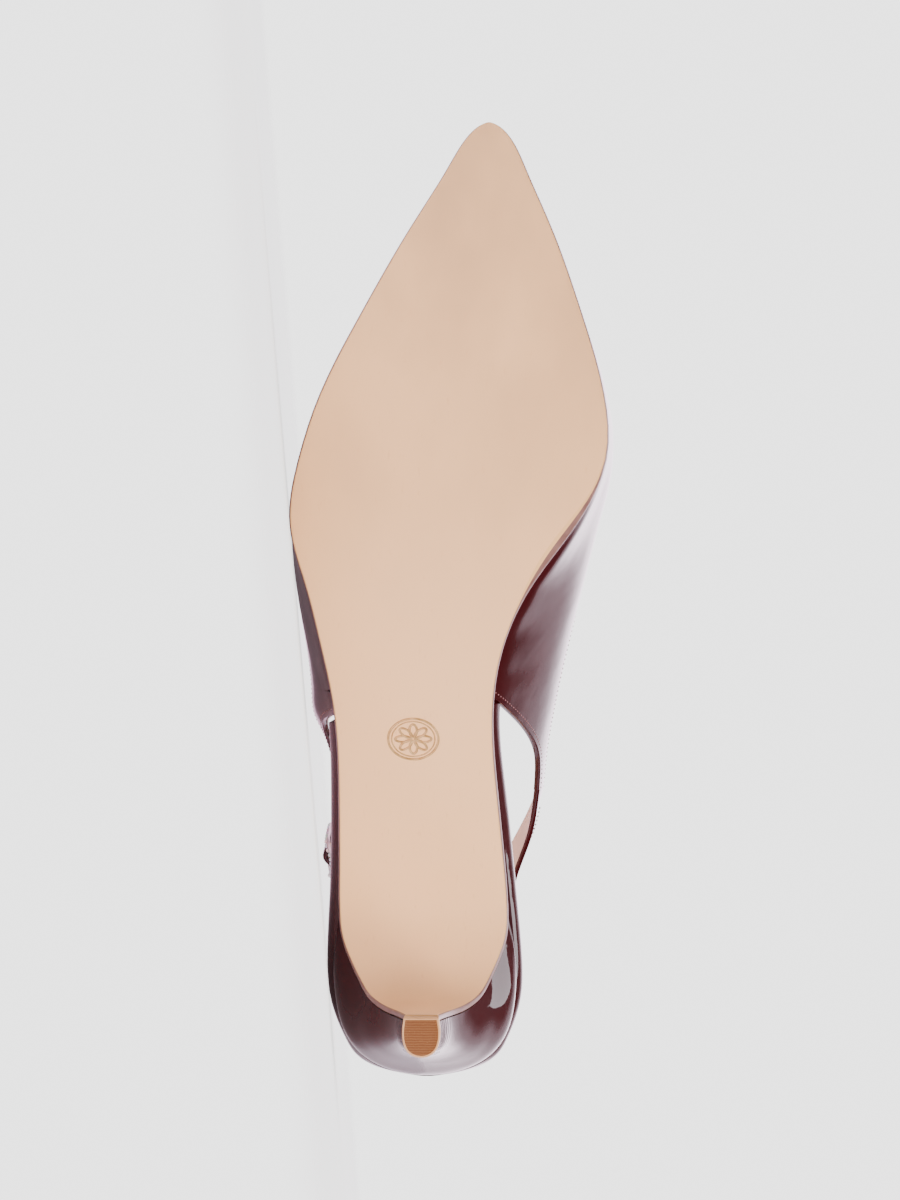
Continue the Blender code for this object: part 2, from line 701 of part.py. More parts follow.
def upper_form():
    """The upper's wall: its outer and inner faces joined along the feather line, the topline and the
    wings' rear edges."""
    form = bmesh.new()
    rows = WALL_ROWS
    stations = spread(WING_END, REAR_EDGE_FRONT, WING_STOPS)
    stations += spread(REAR_EDGE_FRONT, THROAT, THROAT_STOPS, "high")[1:]
    stations += spread(THROAT, LENGTH - STEP, VAMP_STOPS, "high")[1:]
    throat = stations.index(THROAT)
    tips = [
        form.verts.new((x, sole_centre(x), feather(x) + TIP_HEIGHT)) for x in (LENGTH, inner_x(LENGTH))
    ]
    for side in (1, -1):
        outer = [[form.verts.new(p) for p in upper_column(x, side, rows, 0.0)] for x in stations]
        inner = [
            [form.verts.new(p) for p in upper_column(inner_x(x), side, rows, inner_depth(inner_x(x)))]
            for x in stations
        ]
        last = len(stations) - 1
        for grid, tip in ((outer, tips[0]), (inner, tips[1])):
            for k in range(last):
                for i in range(rows - 1):
                    form.faces.new((grid[k][i], grid[k][i + 1], grid[k + 1][i + 1], grid[k + 1][i]))
            for i in range(rows - 1):
                form.faces.new((grid[last][i], grid[last][i + 1], tip))
        for k in range(last):
            form.faces.new((outer[k][0], outer[k + 1][0], inner[k + 1][0], inner[k][0]))
            if k < throat:
                form.faces.new((outer[k][-1], outer[k + 1][-1], inner[k + 1][-1], inner[k][-1]))
        form.faces.new((outer[last][0], tips[0], tips[1], inner[last][0]))
        for i in range(rows - 1):
            form.faces.new((outer[0][i], outer[0][i + 1], inner[0][i + 1], inner[0][i]))
    return form


# Heel strap and buckle


def wing_middle(side):
    """The middle of the wing's end, where the strap takes over."""
    section = half_section(WING_END, side)
    height = (topline(WING_END) + rear_edge[side](WING_END)) / 2
    return upper_point(WING_END, side, share_at(WING_END, side, height, section), section, WALL / 2)


def strap_line():
    """The strap's middle line as functions of a share from 0 to 1: point, and lean in degrees."""
    points = [
        Vector((row.along * LENGTH, row.across * BALL_WIDTH, row.height * INSTEP)) for row in STRAP
    ]
    points = [wing_middle(1), *points, wing_middle(-1)]
    run = [0.0]
    for a, b in zip(points, points[1:]):
        run.append(run[-1] + (b - a).length)
    shares = [r / run[-1] for r in run]
    axes = [smooth(shares, [p[k] for p in points]) for k in range(3)]
    leans = [row.lean for row in STRAP]
    lean = smooth(shares, [leans[0] / 3, *leans, leans[-1] / 3])
    return (lambda t: Vector([axis(t) for axis in axes])), lean, run[-1]


STRAP_POINT, STRAP_LEAN, STRAP_RUN = strap_line()


def strap_frame(at):
    """Point, direction, outward and across directions of the band at a run along the strap's line."""
    share = at / STRAP_RUN
    along = (STRAP_POINT(share + 0.002) - STRAP_POINT(share - 0.002)).normalized()
    out = Vector((along.y, -along.x, 0)).normalized()
    turn = Matrix.Rotation(-math.radians(STRAP_LEAN(share)), 3, along)
    out = turn @ out
    return STRAP_POINT(share), along, out, along.cross(out)


def band_ring(centre, out, across, width, thickness):
    """A flat band's section with rounded edges."""
    half, deep = width / 2, thickness / 2
    corner = BAND_CORNER * deep
    shape = (
        (half, -deep + corner),
        (half, deep - corner),
        (half - corner, deep),
        (0, deep),
        (-half + corner, deep),
        (-half, deep - corner),
        (-half, -deep + corner),
        (-half + corner, -deep),
        (0, -deep),
        (half - corner, -deep),
    )
    return [centre + across * a + out * b for a, b in shape]


def path_line(path):
    """A smooth line through (run, height) pairs: functions of its own length, and that length."""
    run = [0.0]
    for a, b in zip(path, path[1:]):
        run.append(run[-1] + math.hypot(b[0] - a[0], b[1] - a[1]))
    return smooth(run, [p[0] for p in path]), smooth(run, [p[1] for p in path]), run[-1]


def path_frame(along_line, height_line, at):
    """Point and directions of a band that leaves the strap's line by a height."""
    here, ahead = at, at + STEP
    run, height = along_line(here), height_line(here)
    slope = Vector((along_line(ahead) - run, height_line(ahead) - height)).normalized()
    point, along, out, across = strap_frame(run)
    return point + out * height, out * slope.x - along * slope.y, across


def band_rings(path, width, thickness, stops):
    """Sections of a band along a path, skewed at its start to lie along the end of the wing."""
    along_line, height_line, length = path_line(path)
    rings = []
    for at in stops(length):
        centre, out, across = path_frame(along_line, height_line, at)
        along = across.cross(out)
        skew = max(1 - at / SKEW_RUN, 0)
        ring = band_ring(centre, out, across, width, thickness)
        rings.append([corner + along * ((centre.x - corner.x) / along.x * skew) for corner in ring])
    return rings


BAR_RUN = STRAP_RUN - BAR_BACK
SIDE_RISE = STRAP_THICKNESS / 2 + GAP + FRAME_DEPTH / 2  # of the frame's ends, over the strap's line
LOOP_RADIUS = BAR_RADIUS + GAP + TAB_THICKNESS / 2
OVER_BAR = BAR_RISE + LOOP_RADIUS + TAB_THICKNESS / 2 + GAP + STRAP_THICKNESS / 2


def strap_path():
    """Round the heel, under the back of the frame, over the bar and under the front of the frame."""
    plain = BAR_RUN - FRAME_BEHIND - FRAME_WIDTH
    path = [(run, 0.0) for run in spread(JOINT, plain, STRAP_STOPS // 2)]
    path += [(BAR_RUN + stop.run * FRAME_BEHIND, stop.rise * OVER_BAR) for stop in STRAP_STOPS_BEHIND]
    path += [(BAR_RUN + stop.run * FRAME_AHEAD, stop.rise * OVER_BAR) for stop in STRAP_STOPS_AHEAD]
    ends = (FRAME_AHEAD + FRAME_WIDTH, TAIL_LENGTH)
    path += [(BAR_RUN + run, rise * OVER_BAR) for run, rise in zip(ends, TAIL_RISES)]
    return path


def tab_path():
    """From the wing, under the strap's tail, over the bar, round it and a little way back under."""
    under = STRAP_THICKNESS / 2 + GAP + TAB_THICKNESS / 2
    path = [(STRAP_RUN - JOINT, 0.0)]
    path += [(STRAP_RUN - stop.run * BAR_BACK, stop.rise * under) for stop in TAB_START]
    path += [(BAR_RUN + stop.run * FRAME_AHEAD, stop.rise * under) for stop in TAB_STOPS_AHEAD]
    for turn in TAB_TURNS:
        angle = math.radians(turn)
        path.append((BAR_RUN + LOOP_RADIUS * math.cos(angle), BAR_RISE + LOOP_RADIUS * math.sin(angle)))
    path.append((BAR_RUN + TAB_END.run * FRAME_AHEAD, BAR_RISE + TAB_END.rise * LOOP_RADIUS))
    return path


def tube_rings(points, radius):
    """Round sections along a bent line of points."""
    rings = []
    for i, point in enumerate(points):
        before, after = points[max(i - 1, 0)], points[min(i + 1, len(points) - 1)]
        along = (after - before).normalized()
        side = strap_frame(BAR_RUN)[3]
        up = along.cross(side).normalized()
        ring = []
        for k in range(TUBE_SIDES):
            angle = 2 * math.pi * k / TUBE_SIDES
            ring.append(point + side * radius * math.cos(angle) + up * radius * math.sin(angle))
        rings.append(ring)
    return rings


def prong_points():
    """From below the bar round its front, over the strap's hole and on to the back of the frame."""
    point, along, out, across = strap_frame(BAR_RUN)
    reach = BAR_RADIUS + GAP + PRONG_RADIUS
    rest = SIDE_RISE + FRAME_DEPTH / 2 + GAP + PRONG_RADIUS
    path = []
    for turn in PRONG_TURNS:
        angle = math.radians(turn)
        path.append((reach * math.cos(angle), BAR_RISE + reach * math.sin(angle)))
    path += [(stop.run * FRAME_BEHIND, stop.rise * rest) for stop in PRONG_STOPS]
    path.append((-FRAME_BEHIND - FRAME_WIDTH / 2, rest))
    return [point + along * a + out * b for a, b in path]


def bar_rings():
    """The bar across the frame."""
    point, along, out, across = strap_frame(BAR_RUN)
    reach = STRAP_WIDTH / 2 + FRAME_ROOM + FRAME_WIDTH / 2
    rings = []
    for side in (-1, 1):
        centre = point + out * BAR_RISE + across * reach * side
        ring = []
        for k in range(BAR_SIDES):
            angle = 2 * math.pi * k / BAR_SIDES
            ring.append(centre + (along * math.cos(angle) + out * math.sin(angle)) * BAR_RADIUS)
        rings.append(ring)
    return rings


def frame_form():
    """The buckle's frame: a rounded oblong that dips at its sides to meet the bar."""
    point, along, out, across = strap_frame(BAR_RUN)
    half_long = (FRAME_AHEAD + FRAME_BEHIND) / 2
    middle = (FRAME_AHEAD - FRAME_BEHIND) / 2
    half_wide = STRAP_WIDTH / 2 + FRAME_ROOM + FRAME_WIDTH / 2


    def oblong(angle):
        c, d = math.cos(angle), math.sin(angle)
        a = half_long * math.copysign(abs(c) ** FRAME_CORNERS, c)
        return Vector((middle + a, half_wide * math.copysign(abs(d) ** FRAME_CORNERS, d)))

    form = bmesh.new()
    rings = []
    for k in range(FRAME_STOPS):
        angle = 2 * math.pi * k / FRAME_STOPS
        a, b = oblong(angle)
        way = (oblong(angle + math.radians(0.2)) - Vector((a, b))).normalized()
        dip = (1 - min(abs(a / half_long), 1) ** 2) * min(abs(b / half_wide), 1) ** 6
        rise = SIDE_RISE + (BAR_RISE + 0.2 * FRAME_DEPTH - SIDE_RISE) * dip
        centre = point + along * a + across * b + out * rise
        side = along * way.y - across * way.x
        half, deep = FRAME_WIDTH / 2, FRAME_DEPTH / 2
        shape = ((half, -deep), (half, FRAME_CREST * deep), (half / 2, deep))
        shape += tuple((-u, v) for u, v in shape[::-1])
        rings.append([form.verts.new(centre + side * u + out * v) for u, v in shape])
    for low, high in zip(rings, rings[1:] + rings[:1]):
        for i in range(len(low)):
            j = (i + 1) % len(low)
            form.faces.new((low[i], low[j], high[j], high[i]))
    return form


def hidden(name, form, collection):
    """A body that only shapes another one."""
    made = finish(name, form, collection, None)
    made.hide_render = True
    made.display_type = "WIRE"
    return made


def combine(target, tool, operation):
    step = target.modifiers.new(operation.lower(), "BOOLEAN")
    step.operation = operation
    step.object = tool
    step.solver = "EXACT"


# Pose


def lay_down(pieces, tools):
    """Lays the shoe on its outer side, on the three points of its hull between which its weight falls.
    The tread faces the front. The origin ends under the middle of its bounding box."""
    depsgraph = bpy.context.evaluated_depsgraph_get()
    points, weight, moment = [], 0.0, Vector()
    for piece in pieces:
        mesh = piece.evaluated_get(depsgraph).to_mesh()
        mesh.calc_loop_triangles()
        density = DENSITY[piece.data.materials[0].name]
        corners = [vertex.co.copy() for vertex in mesh.vertices]
        for triangle in mesh.loop_triangles:
            a, b, c = (corners[i] for i in triangle.vertices)
            volume = a.dot(b.cross(c)) / 6 * density
            weight += volume
            moment += (a + b + c) / 4 * volume
        points += corners
    balance = moment / weight
    hull = bmesh.new()
    for point in points:
        hull.verts.new(point)
    bmesh.ops.convex_hull(hull, input=hull.verts)
    down, facing = None, 0.0
    for face in hull.faces:
        normal = face.normal
        if (face.calc_center_median() - balance).dot(normal) < 0:
            normal = -normal
        a, b, c = (vertex.co for vertex in face.verts[:3])
        foot = balance + normal * (a - balance).dot(normal)
        inside = [(q - p).cross(foot - p).dot(face.normal) for p, q in ((a, b), (b, c), (c, a))]
        if (min(inside) > 0 or max(inside) < 0) and -normal.y > facing:
            down, facing = normal.copy(), -normal.y
    hull.free()
    along = (down * down.x - Vector((1, 0, 0))).normalized()
    turn = Matrix((along, (-down).cross(along), -down))
    laid = [turn @ point for point in points]
    low = [min(point[k] for point in laid) for k in range(3)]
    high = [max(point[k] for point in laid) for k in range(3)]
    place = Vector((-(low[0] + high[0]) / 2, -(low[1] + high[1]) / 2, -low[2]))
    pose = bpy.data.objects.new("pose", None)
    pieces[0].users_collection[0].objects.link(pose)
    pose.location = place
    pose.rotation_euler = turn.to_euler()
    for piece in pieces + tools:
        piece.parent = pose


def main():
    for old in list(bpy.data.objects):
        bpy.data.objects.remove(old)
    shoe = bpy.data.collections.new("slingback_pump")
    shapers = bpy.data.collections.new("shapers")
    for collection in (shoe, shapers):
        bpy.context.scene.collection.children.link(collection)
    patent = material("patent", (0.075, 0.006, 0.012), 0.08)
    nude = material("sole_leather", (0.76, 0.58, 0.46), 0.45)
    lift_look = material("lift", (0.52, 0.28, 0.13), 0.5)
    metal = material("buckle_metal", (0.82, 0.80, 0.78), 0.2, 1.0)

    pieces = [
        finish("outsole", loft(outsole_rings()), shoe, nude),
        finish("heel", loft(heel_rings()), shoe, patent),
        finish("top_lift", loft(lift_rings()), shoe, lift_look),
        finish("insole_board", loft(board_rings()), shoe, patent),
        finish("insole_sock", loft(sock_rings()), shoe, nude),
        finish("upper", upper_form(), shoe, patent),
    ]

    def strap_stops(length):
        plain = length - BAR_BACK - FRAME_BEHIND
        return spread(0, plain, STRAP_STOPS) + spread(plain, length, STRAP_STOPS)[1:]

    strap = finish(
        "sling_strap",
        loft(band_rings(strap_path(), STRAP_WIDTH, STRAP_THICKNESS, strap_stops)),
        shoe,
        patent,
    )
    tab = finish(
        "buckle_tab",
        loft(band_rings(tab_path(), TAB_WIDTH, TAB_THICKNESS, lambda length: spread(0, length, TAB_STOPS))),
        shoe,
        patent,
    )
    frame = finish("buckle_frame", frame_form(), shoe, metal)
    prong = finish("buckle_prong", loft(tube_rings(prong_points(), PRONG_RADIUS)), shoe, metal)
    bar = hidden("bar_shape", loft(bar_rings()), shapers)
    hole = hidden("hole_shape", loft(tube_rings(prong_points(), PRONG_RADIUS + GAP)), shapers)
    combine(frame, bar, "UNION")
    combine(strap, hole, "DIFFERENCE")
    combine(tab, hole, "DIFFERENCE")
    pieces += [strap, tab, frame, prong]
    lay_down(pieces, [bar, hole])


main()
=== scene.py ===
# %% [markdown]
# Dressing a slingback pump
#
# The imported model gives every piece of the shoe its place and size. This lesson builds the visible skin of
# each piece at the same place, finer and with its real finish: patent leather, a nude leather sole, a tan
# top lift, stitching and a buckle set with stones. Everything is in metres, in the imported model's frame.

# %% Load the frame and keep its box
import json
import math
from collections import namedtuple

import bmesh
import bpy
import numpy as np
from mathutils import Matrix, Vector


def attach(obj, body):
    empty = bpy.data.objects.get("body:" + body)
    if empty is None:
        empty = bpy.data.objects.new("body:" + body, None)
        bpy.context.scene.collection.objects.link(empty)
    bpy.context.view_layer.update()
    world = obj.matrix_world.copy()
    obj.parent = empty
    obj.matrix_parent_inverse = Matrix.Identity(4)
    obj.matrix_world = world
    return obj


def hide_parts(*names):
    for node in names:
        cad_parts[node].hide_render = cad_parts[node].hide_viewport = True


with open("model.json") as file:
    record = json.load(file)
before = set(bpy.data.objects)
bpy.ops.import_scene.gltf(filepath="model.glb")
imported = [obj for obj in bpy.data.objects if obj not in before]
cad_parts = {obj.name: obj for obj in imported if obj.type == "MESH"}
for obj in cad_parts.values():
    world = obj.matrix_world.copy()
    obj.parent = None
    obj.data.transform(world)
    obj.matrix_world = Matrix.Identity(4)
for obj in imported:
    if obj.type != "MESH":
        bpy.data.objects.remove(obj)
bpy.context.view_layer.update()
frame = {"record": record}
MM = 0.001

# %% [markdown]
# The shoe's own frame
#
# The shoe lies on its side, so its own directions slant in the model. The record's two flat spots, under
# the ball and at the heel tip, give them back: x from heel to toe, y to the inner side, z up from the tread.
# Each shape could be modelled as it lies, but its numbers would say little. So all shapes below are worked
# out upright, in the shoe's frame, and then placed by one matrix.

# %% Find the shoe's frame from the two flat spots
FORE_SPOT = (175 * MM, 9 * MM)
TIP_SPOT = 15.2 * MM
spots = {spot["name"]: spot for spot in frame["record"]["mounts"]}
fore = Vector(spots["forefoot_tread"]["pos_m"])
tip = Vector(spots["heel_tip"]["pos_m"])
shoe_z = -Vector(spots["heel_tip"]["axis"]).normalized()
way = (fore - tip).normalized()
turn = math.atan2(FORE_SPOT[1], FORE_SPOT[0] - TIP_SPOT)
shoe_x = (way * math.cos(turn) - shoe_z.cross(way) * math.sin(turn)).normalized()
shoe_y = shoe_z.cross(shoe_x)
PLACE = Matrix((shoe_x, shoe_y, shoe_z)).transposed().to_4x4()
PLACE.translation = tip - shoe_x * TIP_SPOT
print("toe points along", [round(k, 3) for k in shoe_x], "tread faces", [round(-k, 3) for k in shoe_z])

# %% [markdown]
# Sizes and sections
#
# The named sizes and section tables are those of the solids, so that each skin lies where its solid does.
# Two tables differ a little, by a millimetre or so in place: the strap, which also leans more on the inner
# side, and the rear edge of the inner wing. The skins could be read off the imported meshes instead, but those
# are coarse, and a table can be drawn as finely as the lacquer's reflections need. In the tables, along,
# front and back are shares of LENGTH, heights are shares of INSTEP or HEEL_HEIGHT, and what lies across is a
# share of BALL_WIDTH or SEAT_WIDTH. A lean or a turn is in degrees, and a stop's run and rise are shares of
# the buckle's own sizes.

# %% Named sizes
LENGTH = 252 * MM
BALL_WIDTH = 80 * MM
SEAT_WIDTH = 52.4 * MM
HEEL_HEIGHT = 50 * MM
TOE_SPRING = 7.5 * MM
INSTEP = 66 * MM
GAP = 0.3 * MM
STEP = 0.1 * MM
SOLE_THICKNESS = 2.4 * MM
FLAP_THICKNESS = 1.4 * MM
FLAP_INSET = 0.2 * MM
BREAST_GAP = 0.45 * MM
LIP = 0.4 * MM
SOLE_BEVEL = 0.7 * MM
BEVEL_HEIGHT = 0.45
BREAST_TOP = 0.2222 * LENGTH
TREAD_BACK = 0.635 * LENGTH
TREAD_FRONT = 0.754 * LENGTH
BOARD_THICKNESS = 5.6 * MM
BOARD_TOE_THICKNESS = 2.0 * MM
BOARD_THINS = (0.38 * LENGTH, 0.55 * LENGTH)
BOARD_TUCK = 1.9 * MM
BOARD_EDGE = 0.3 * MM
BOARD_ROOM = 2.0 * MM
RIM_END = (0.4 * MM, 2.8 * MM)
SOCK_THICKNESS = 1.0 * MM
SOCK_TUCK = 0.5 * MM
SOCK_INSET = 0.9 * MM
SOCK_TOE_INSET = 2.3 * MM
SOCK_TOE = 0.8 * LENGTH
SOCK_ROOM = 7.0 * MM
WALL = 1.6 * MM
WALL_ROOM = 0.62
TOE_TAPER = 60 * MM
TOE_FILL = 9 * MM
TIP_HEIGHT = 0.8 * MM
FEATHER_INSET = 0.5 * MM
THROAT = 0.6825 * LENGTH
WING_END = 0.3055 * LENGTH
REAR_EDGE_FRONT = 0.415 * LENGTH
LIFT_HEIGHT = 5.4 * MM
STRAP_WIDTH = 9.6 * MM
STRAP_THICKNESS = 1.5 * MM
TAB_WIDTH = 8.6 * MM
TAB_THICKNESS = 1.0 * MM
BAR_BACK = 19 * MM
TAIL_LENGTH = 11 * MM
FRAME_AHEAD = 5.0 * MM
FRAME_BEHIND = 6.0 * MM
FRAME_WIDTH = 2.0 * MM
FRAME_DEPTH = 1.6 * MM
FRAME_ROOM = 0.7 * MM
FRAME_CORNERS = 0.42
BAR_RADIUS = 0.6 * MM
BAR_RISE = 0.4 * MM
PRONG_RADIUS = 0.45 * MM

# %% Section tables, as shares of the sizes
Plan = namedtuple("Plan", "along centre half")
SOLE_PLAN = (
    Plan(0.200, -0.009, 0.282),
    Plan(0.300, -0.021, 0.265),
    Plan(0.400, -0.033, 0.265),
    Plan(0.466, -0.032, 0.305),
    Plan(0.528, -0.006, 0.378),
    Plan(0.589, 0.042, 0.469),
    Plan(0.650, 0.099, 0.499),
    Plan(0.712, 0.129, 0.467),
    Plan(0.794, 0.159, 0.369),
    Plan(0.877, 0.188, 0.251),
    Plan(0.943, 0.208, 0.143),
    Plan(0.975, 0.215, 0.092),
    Plan(1.000, 0.218, 0.000),
)
SEAT_PLAN = (
    Plan(0.000, 0.000, 0.000),
    Plan(0.009, -0.001, 0.262),
    Plan(0.038, -0.004, 0.414),
    Plan(0.080, -0.007, 0.487),
    Plan(0.135, -0.012, 0.500),
    Plan(0.200, -0.017, 0.478),
    Plan(0.300, -0.032, 0.447),
    Plan(0.400, -0.052, 0.437),
    Plan(0.460, -0.052, 0.480),
)
Rise = namedtuple("Rise", "along rise")
WAIST = (
    Rise(0.000, 1.000),
    Rise(0.100, 0.942),
    Rise(0.200, 0.818),
    Rise(0.300, 0.605),
    Rise(0.400, 0.335),
    Rise(0.500, 0.115),
    Rise(0.5635, 0.028),
)
Section = namedtuple("Section", "along inner outer ridge belly crown")
UPPER = (
    Section(0.300, 0.146, 0.022, 0.020, 0.370, 1.000),
    Section(0.340, 0.170, 0.043, 0.025, 0.420, 0.995),
    Section(0.365, 0.187, 0.067, 0.027, 0.455, 0.991),
    Section(0.385, 0.200, 0.091, 0.029, 0.478, 0.987),
    Section(0.412, 0.212, 0.089, 0.031, 0.490, 0.980),
    Section(0.466, 0.212, 0.071, 0.036, 0.480, 0.950),
    Section(0.528, 0.163, 0.049, 0.038, 0.440, 0.870),
    Section(0.589, 0.070, 0.008, 0.038, 0.460, 0.730),
    Section(0.650, 0.024, 0.014, 0.034, 0.300, 0.560),
    Section(0.712, 0.014, 0.006, 0.026, 0.200, 0.426),
    Section(0.794, 0.006, 0.004, 0.014, 0.130, 0.311),
    Section(0.877, 0.000, 0.000, 0.006, 0.078, 0.224),
    Section(0.943, 0.000, 0.000, 0.000, 0.055, 0.166),
    Section(0.975, 0.000, 0.000, 0.000, 0.040, 0.122),
    Section(1.000, 0.000, 0.000, 0.000, 0.000, 0.000),
)
Bend = namedtuple("Bend", "out up")
SIDE_BEND = Bend(0.55, 0.42)
CROWN_BENDS = (Bend(0.80, 0.66), Bend(0.46, 0.915))
Edge = namedtuple("Edge", "along height")
TOPLINE = (
    Edge(0.305, 1.000),
    Edge(0.337, 0.930),
    Edge(0.377, 0.845),
    Edge(0.436, 0.738),
    Edge(0.516, 0.645),
    Edge(0.595, 0.580),
)
REAR_EDGE_INNER = (
    Edge(0.305, 0.826),
    Edge(0.331, 0.785),
    Edge(0.345, 0.737),
    Edge(0.358, 0.667),
    Edge(0.371, 0.580),
    Edge(0.384, 0.480),
    Edge(0.397, 0.372),
    Edge(0.411, 0.250),
)
REAR_EDGE_OUTER = (
    Edge(0.305, 0.826),
    Edge(0.337, 0.785),
    Edge(0.362, 0.715),
    Edge(0.376, 0.620),
    Edge(0.384, 0.500),
    Edge(0.391, 0.270),
)
Level = namedtuple("Level", "front front_height back back_height half swell")
HEEL = (
    Level(0.0814, 0.116, 0.0390, 0.116, 0.086, 0.009),
    Level(0.0817, 0.290, 0.0376, 0.290, 0.122, 0.004),
    Level(0.0829, 0.430, 0.0335, 0.460, 0.170, 0.004),
    Level(0.0865, 0.535, 0.0276, 0.600, 0.225, 0.008),
    Level(0.0950, 0.625, 0.0204, 0.715, 0.285, 0.013),
    Level(0.1100, 0.705, 0.0130, 0.820, 0.334, 0.026),
    Level(0.1330, 0.778, 0.0066, 0.905, 0.388, 0.036),
    Level(0.1560, 0.822, 0.0030, 0.965, 0.424, 0.040),
    Level(0.1780, 0.836, 0.0020, 1.010, 0.432, 0.044),
)
BACK_ROUNDNESS = 4.5
BACK_CLOSING = 0.49
SWELL_END = 0.45
Rim = namedtuple("Rim", "tuck up")
INSOLE_RIM = (Rim(1.0, 0.0), Rim(0.15, 0.45), Rim(0.05, 0.80), Rim(0.4, 1.0))
Strap = namedtuple("Strap", "along across height lean")
STRAP = (
    Strap(0.262, 0.3380, 1.005, 20),
    Strap(0.222, 0.2830, 1.095, 24),
    Strap(0.165, 0.2380, 1.215, 20),
    Strap(0.108, 0.1780, 1.335, 14),
    Strap(0.056, 0.1120, 1.425, 13),
    Strap(0.026, 0.0480, 1.472, 12),
    Strap(0.020, 0.0000, 1.480, 12),
    Strap(0.026, -0.0480, 1.472, 12),
    Strap(0.056, -0.1080, 1.425, 13),
    Strap(0.108, -0.1680, 1.335, 14),
    Strap(0.165, -0.2350, 1.215, 13),
    Strap(0.215, -0.2900, 1.105, 8),
    Strap(0.262, -0.3050, 1.005, 5),
)
Stop = namedtuple("Stop", "run rise")
STRAP_STOPS_BEHIND = (Stop(-1.0, -0.02), Stop(-0.76, 0.02), Stop(-0.48, 0.46), Stop(-0.22, 0.88))
STRAP_STOPS_AHEAD = (Stop(0.0, 1.05), Stop(0.26, 0.91), Stop(0.52, 0.42), Stop(0.76, 0.0), Stop(1.0, -0.04))
TAIL_RISES = (-0.02, 0.03)
TAB_START = (Stop(0.12, -0.35), Stop(0.30, -1.08))
TAB_STOPS_AHEAD = (
    Stop(1.35, -1.22),
    Stop(1.00, -1.30),
    Stop(0.74, -1.28),
    Stop(0.50, -0.66),
    Stop(0.30, 0.34),
)
TAB_TURNS = (62, 90, 125, 160, 195, 230, 262)
TAB_END = Stop(0.30, -1.12)
PRONG_TURNS = (-110, -75, -40, -5, 30, 60, 90, 108)
PRONG_STOPS = (Stop(-0.45, 0.80), Stop(-0.80, 1.0))
print("tables for", len(UPPER), "sections of the upper and", len(HEEL), "levels of the heel")

# %% [markdown]
# Smooth curves through a few rows
#
# A last has no flats or kinks, so every column of a table becomes a cubic spline with no jump in slope or
# bend. Widths that close at the toe are splined as squares: the root then closes round instead of pointed.


# %% Splines
def smooth(xs, ys, start=None, end=None):
    """A cubic through the points with no jump in slope or bend; start and end fix its slope there."""
    x, y = np.array(xs, float), np.array(ys, float)
    n, h = len(x), np.diff(x)
    rise = np.diff(y) / h
    matrix, right = np.zeros((n, n)), np.zeros(n)
    for i in range(1, n - 1):
        matrix[i, i - 1 : i + 2] = h[i - 1], 2 * (h[i - 1] + h[i]), h[i]
        right[i] = 3 * (rise[i] - rise[i - 1])
    matrix[0, 0] = matrix[-1, -1] = 1
    if start is not None:
        matrix[0, :2] = 2 * h[0], h[0]
        right[0] = 3 * (rise[0] - start)
    if end is not None:
        matrix[-1, -2:] = h[-1], 2 * h[-1]
        right[-1] = 3 * (end - rise[-1])
    bend = np.linalg.solve(matrix, right)
    slope = rise - h * (2 * bend[:-1] + bend[1:]) / 3
    twist = np.diff(bend) / (3 * h)

    def value(at):
        at = np.asarray(at, float)
        i = np.clip(np.searchsorted(x, at) - 1, 0, n - 2)
        u = at - x[i]
        return y[i] + u * (slope[i] + u * (bend[i] + u * twist[i]))

    return value


def running(points):
    """The length of a line up to each of its points."""
    steps = np.linalg.norm(np.diff(np.array(points, float), axis=0), axis=1)
    return [0.0, *np.cumsum(steps).tolist()]


def column(table, name, size):
    """A column of a table as a function of x."""
    return smooth([row.along * LENGTH for row in table], [getattr(row, name) * size for row in table])


def round_column(table, name, size):
    """The same for a width or height that closes round at the toe or the back."""
    places = [row.along * LENGTH for row in table]
    squares = smooth(places, [(getattr(row, name) * size) ** 2 for row in table])
    return lambda x: np.sqrt(np.maximum(squares(x), 0.0))


def ease(t):
    """0 to 1 with level ends."""
    t = np.clip(t, 0, 1)
    return t * t * (3 - 2 * t)


def spread(low, high, count, ends=""):
    """Count values from low to high, closer together at the ends named: "low", "high" or "both"."""
    t = np.linspace(0, 1, count)
    t = {
        "": t,
        "low": 1 - np.cos(t * np.pi / 2),
        "high": np.sin(t * np.pi / 2),
        "both": (1 - np.cos(t * np.pi)) / 2,
    }[ends]
    return list(low + (high - low) * t)


# %% Curves of the sole, the seat and the upper
sole_centre = column(SOLE_PLAN, "centre", BALL_WIDTH)
sole_half = round_column(SOLE_PLAN, "half", BALL_WIDTH)
seat_centre = column(SEAT_PLAN, "centre", SEAT_WIDTH)
seat_half = round_column(SEAT_PLAN, "half", SEAT_WIDTH)
waist_rise = smooth(
    [row.along * LENGTH for row in WAIST] + [TREAD_BACK],
    [row.rise * HEEL_HEIGHT for row in WAIST] + [0.0],
    end=0.0,
)
topline = column(TOPLINE, "height", INSTEP)
rear_edge = {1: column(REAR_EDGE_INNER, "height", INSTEP), -1: column(REAR_EDGE_OUTER, "height", INSTEP)}
wall_out = {1: column(UPPER, "inner", BALL_WIDTH), -1: column(UPPER, "outer", BALL_WIDTH)}
ridge_shift = column(UPPER, "ridge", BALL_WIDTH)
belly_height = round_column(UPPER, "belly", INSTEP)
crown_height = round_column(UPPER, "crown", INSTEP)


def underside(x):
    """Height of the outsole's lower face."""
    if x < TREAD_BACK:
        return float(waist_rise(x))
    return TOE_SPRING * (max(x - TREAD_FRONT, 0) / (LENGTH - TREAD_FRONT)) ** 2


def feather(x):
    """Height of the outsole's upper face, where upper and insole begin."""
    slope = (underside(x + STEP) - underside(x - STEP)) / (2 * STEP)
    return underside(x) + SOLE_THICKNESS * math.hypot(1, slope)


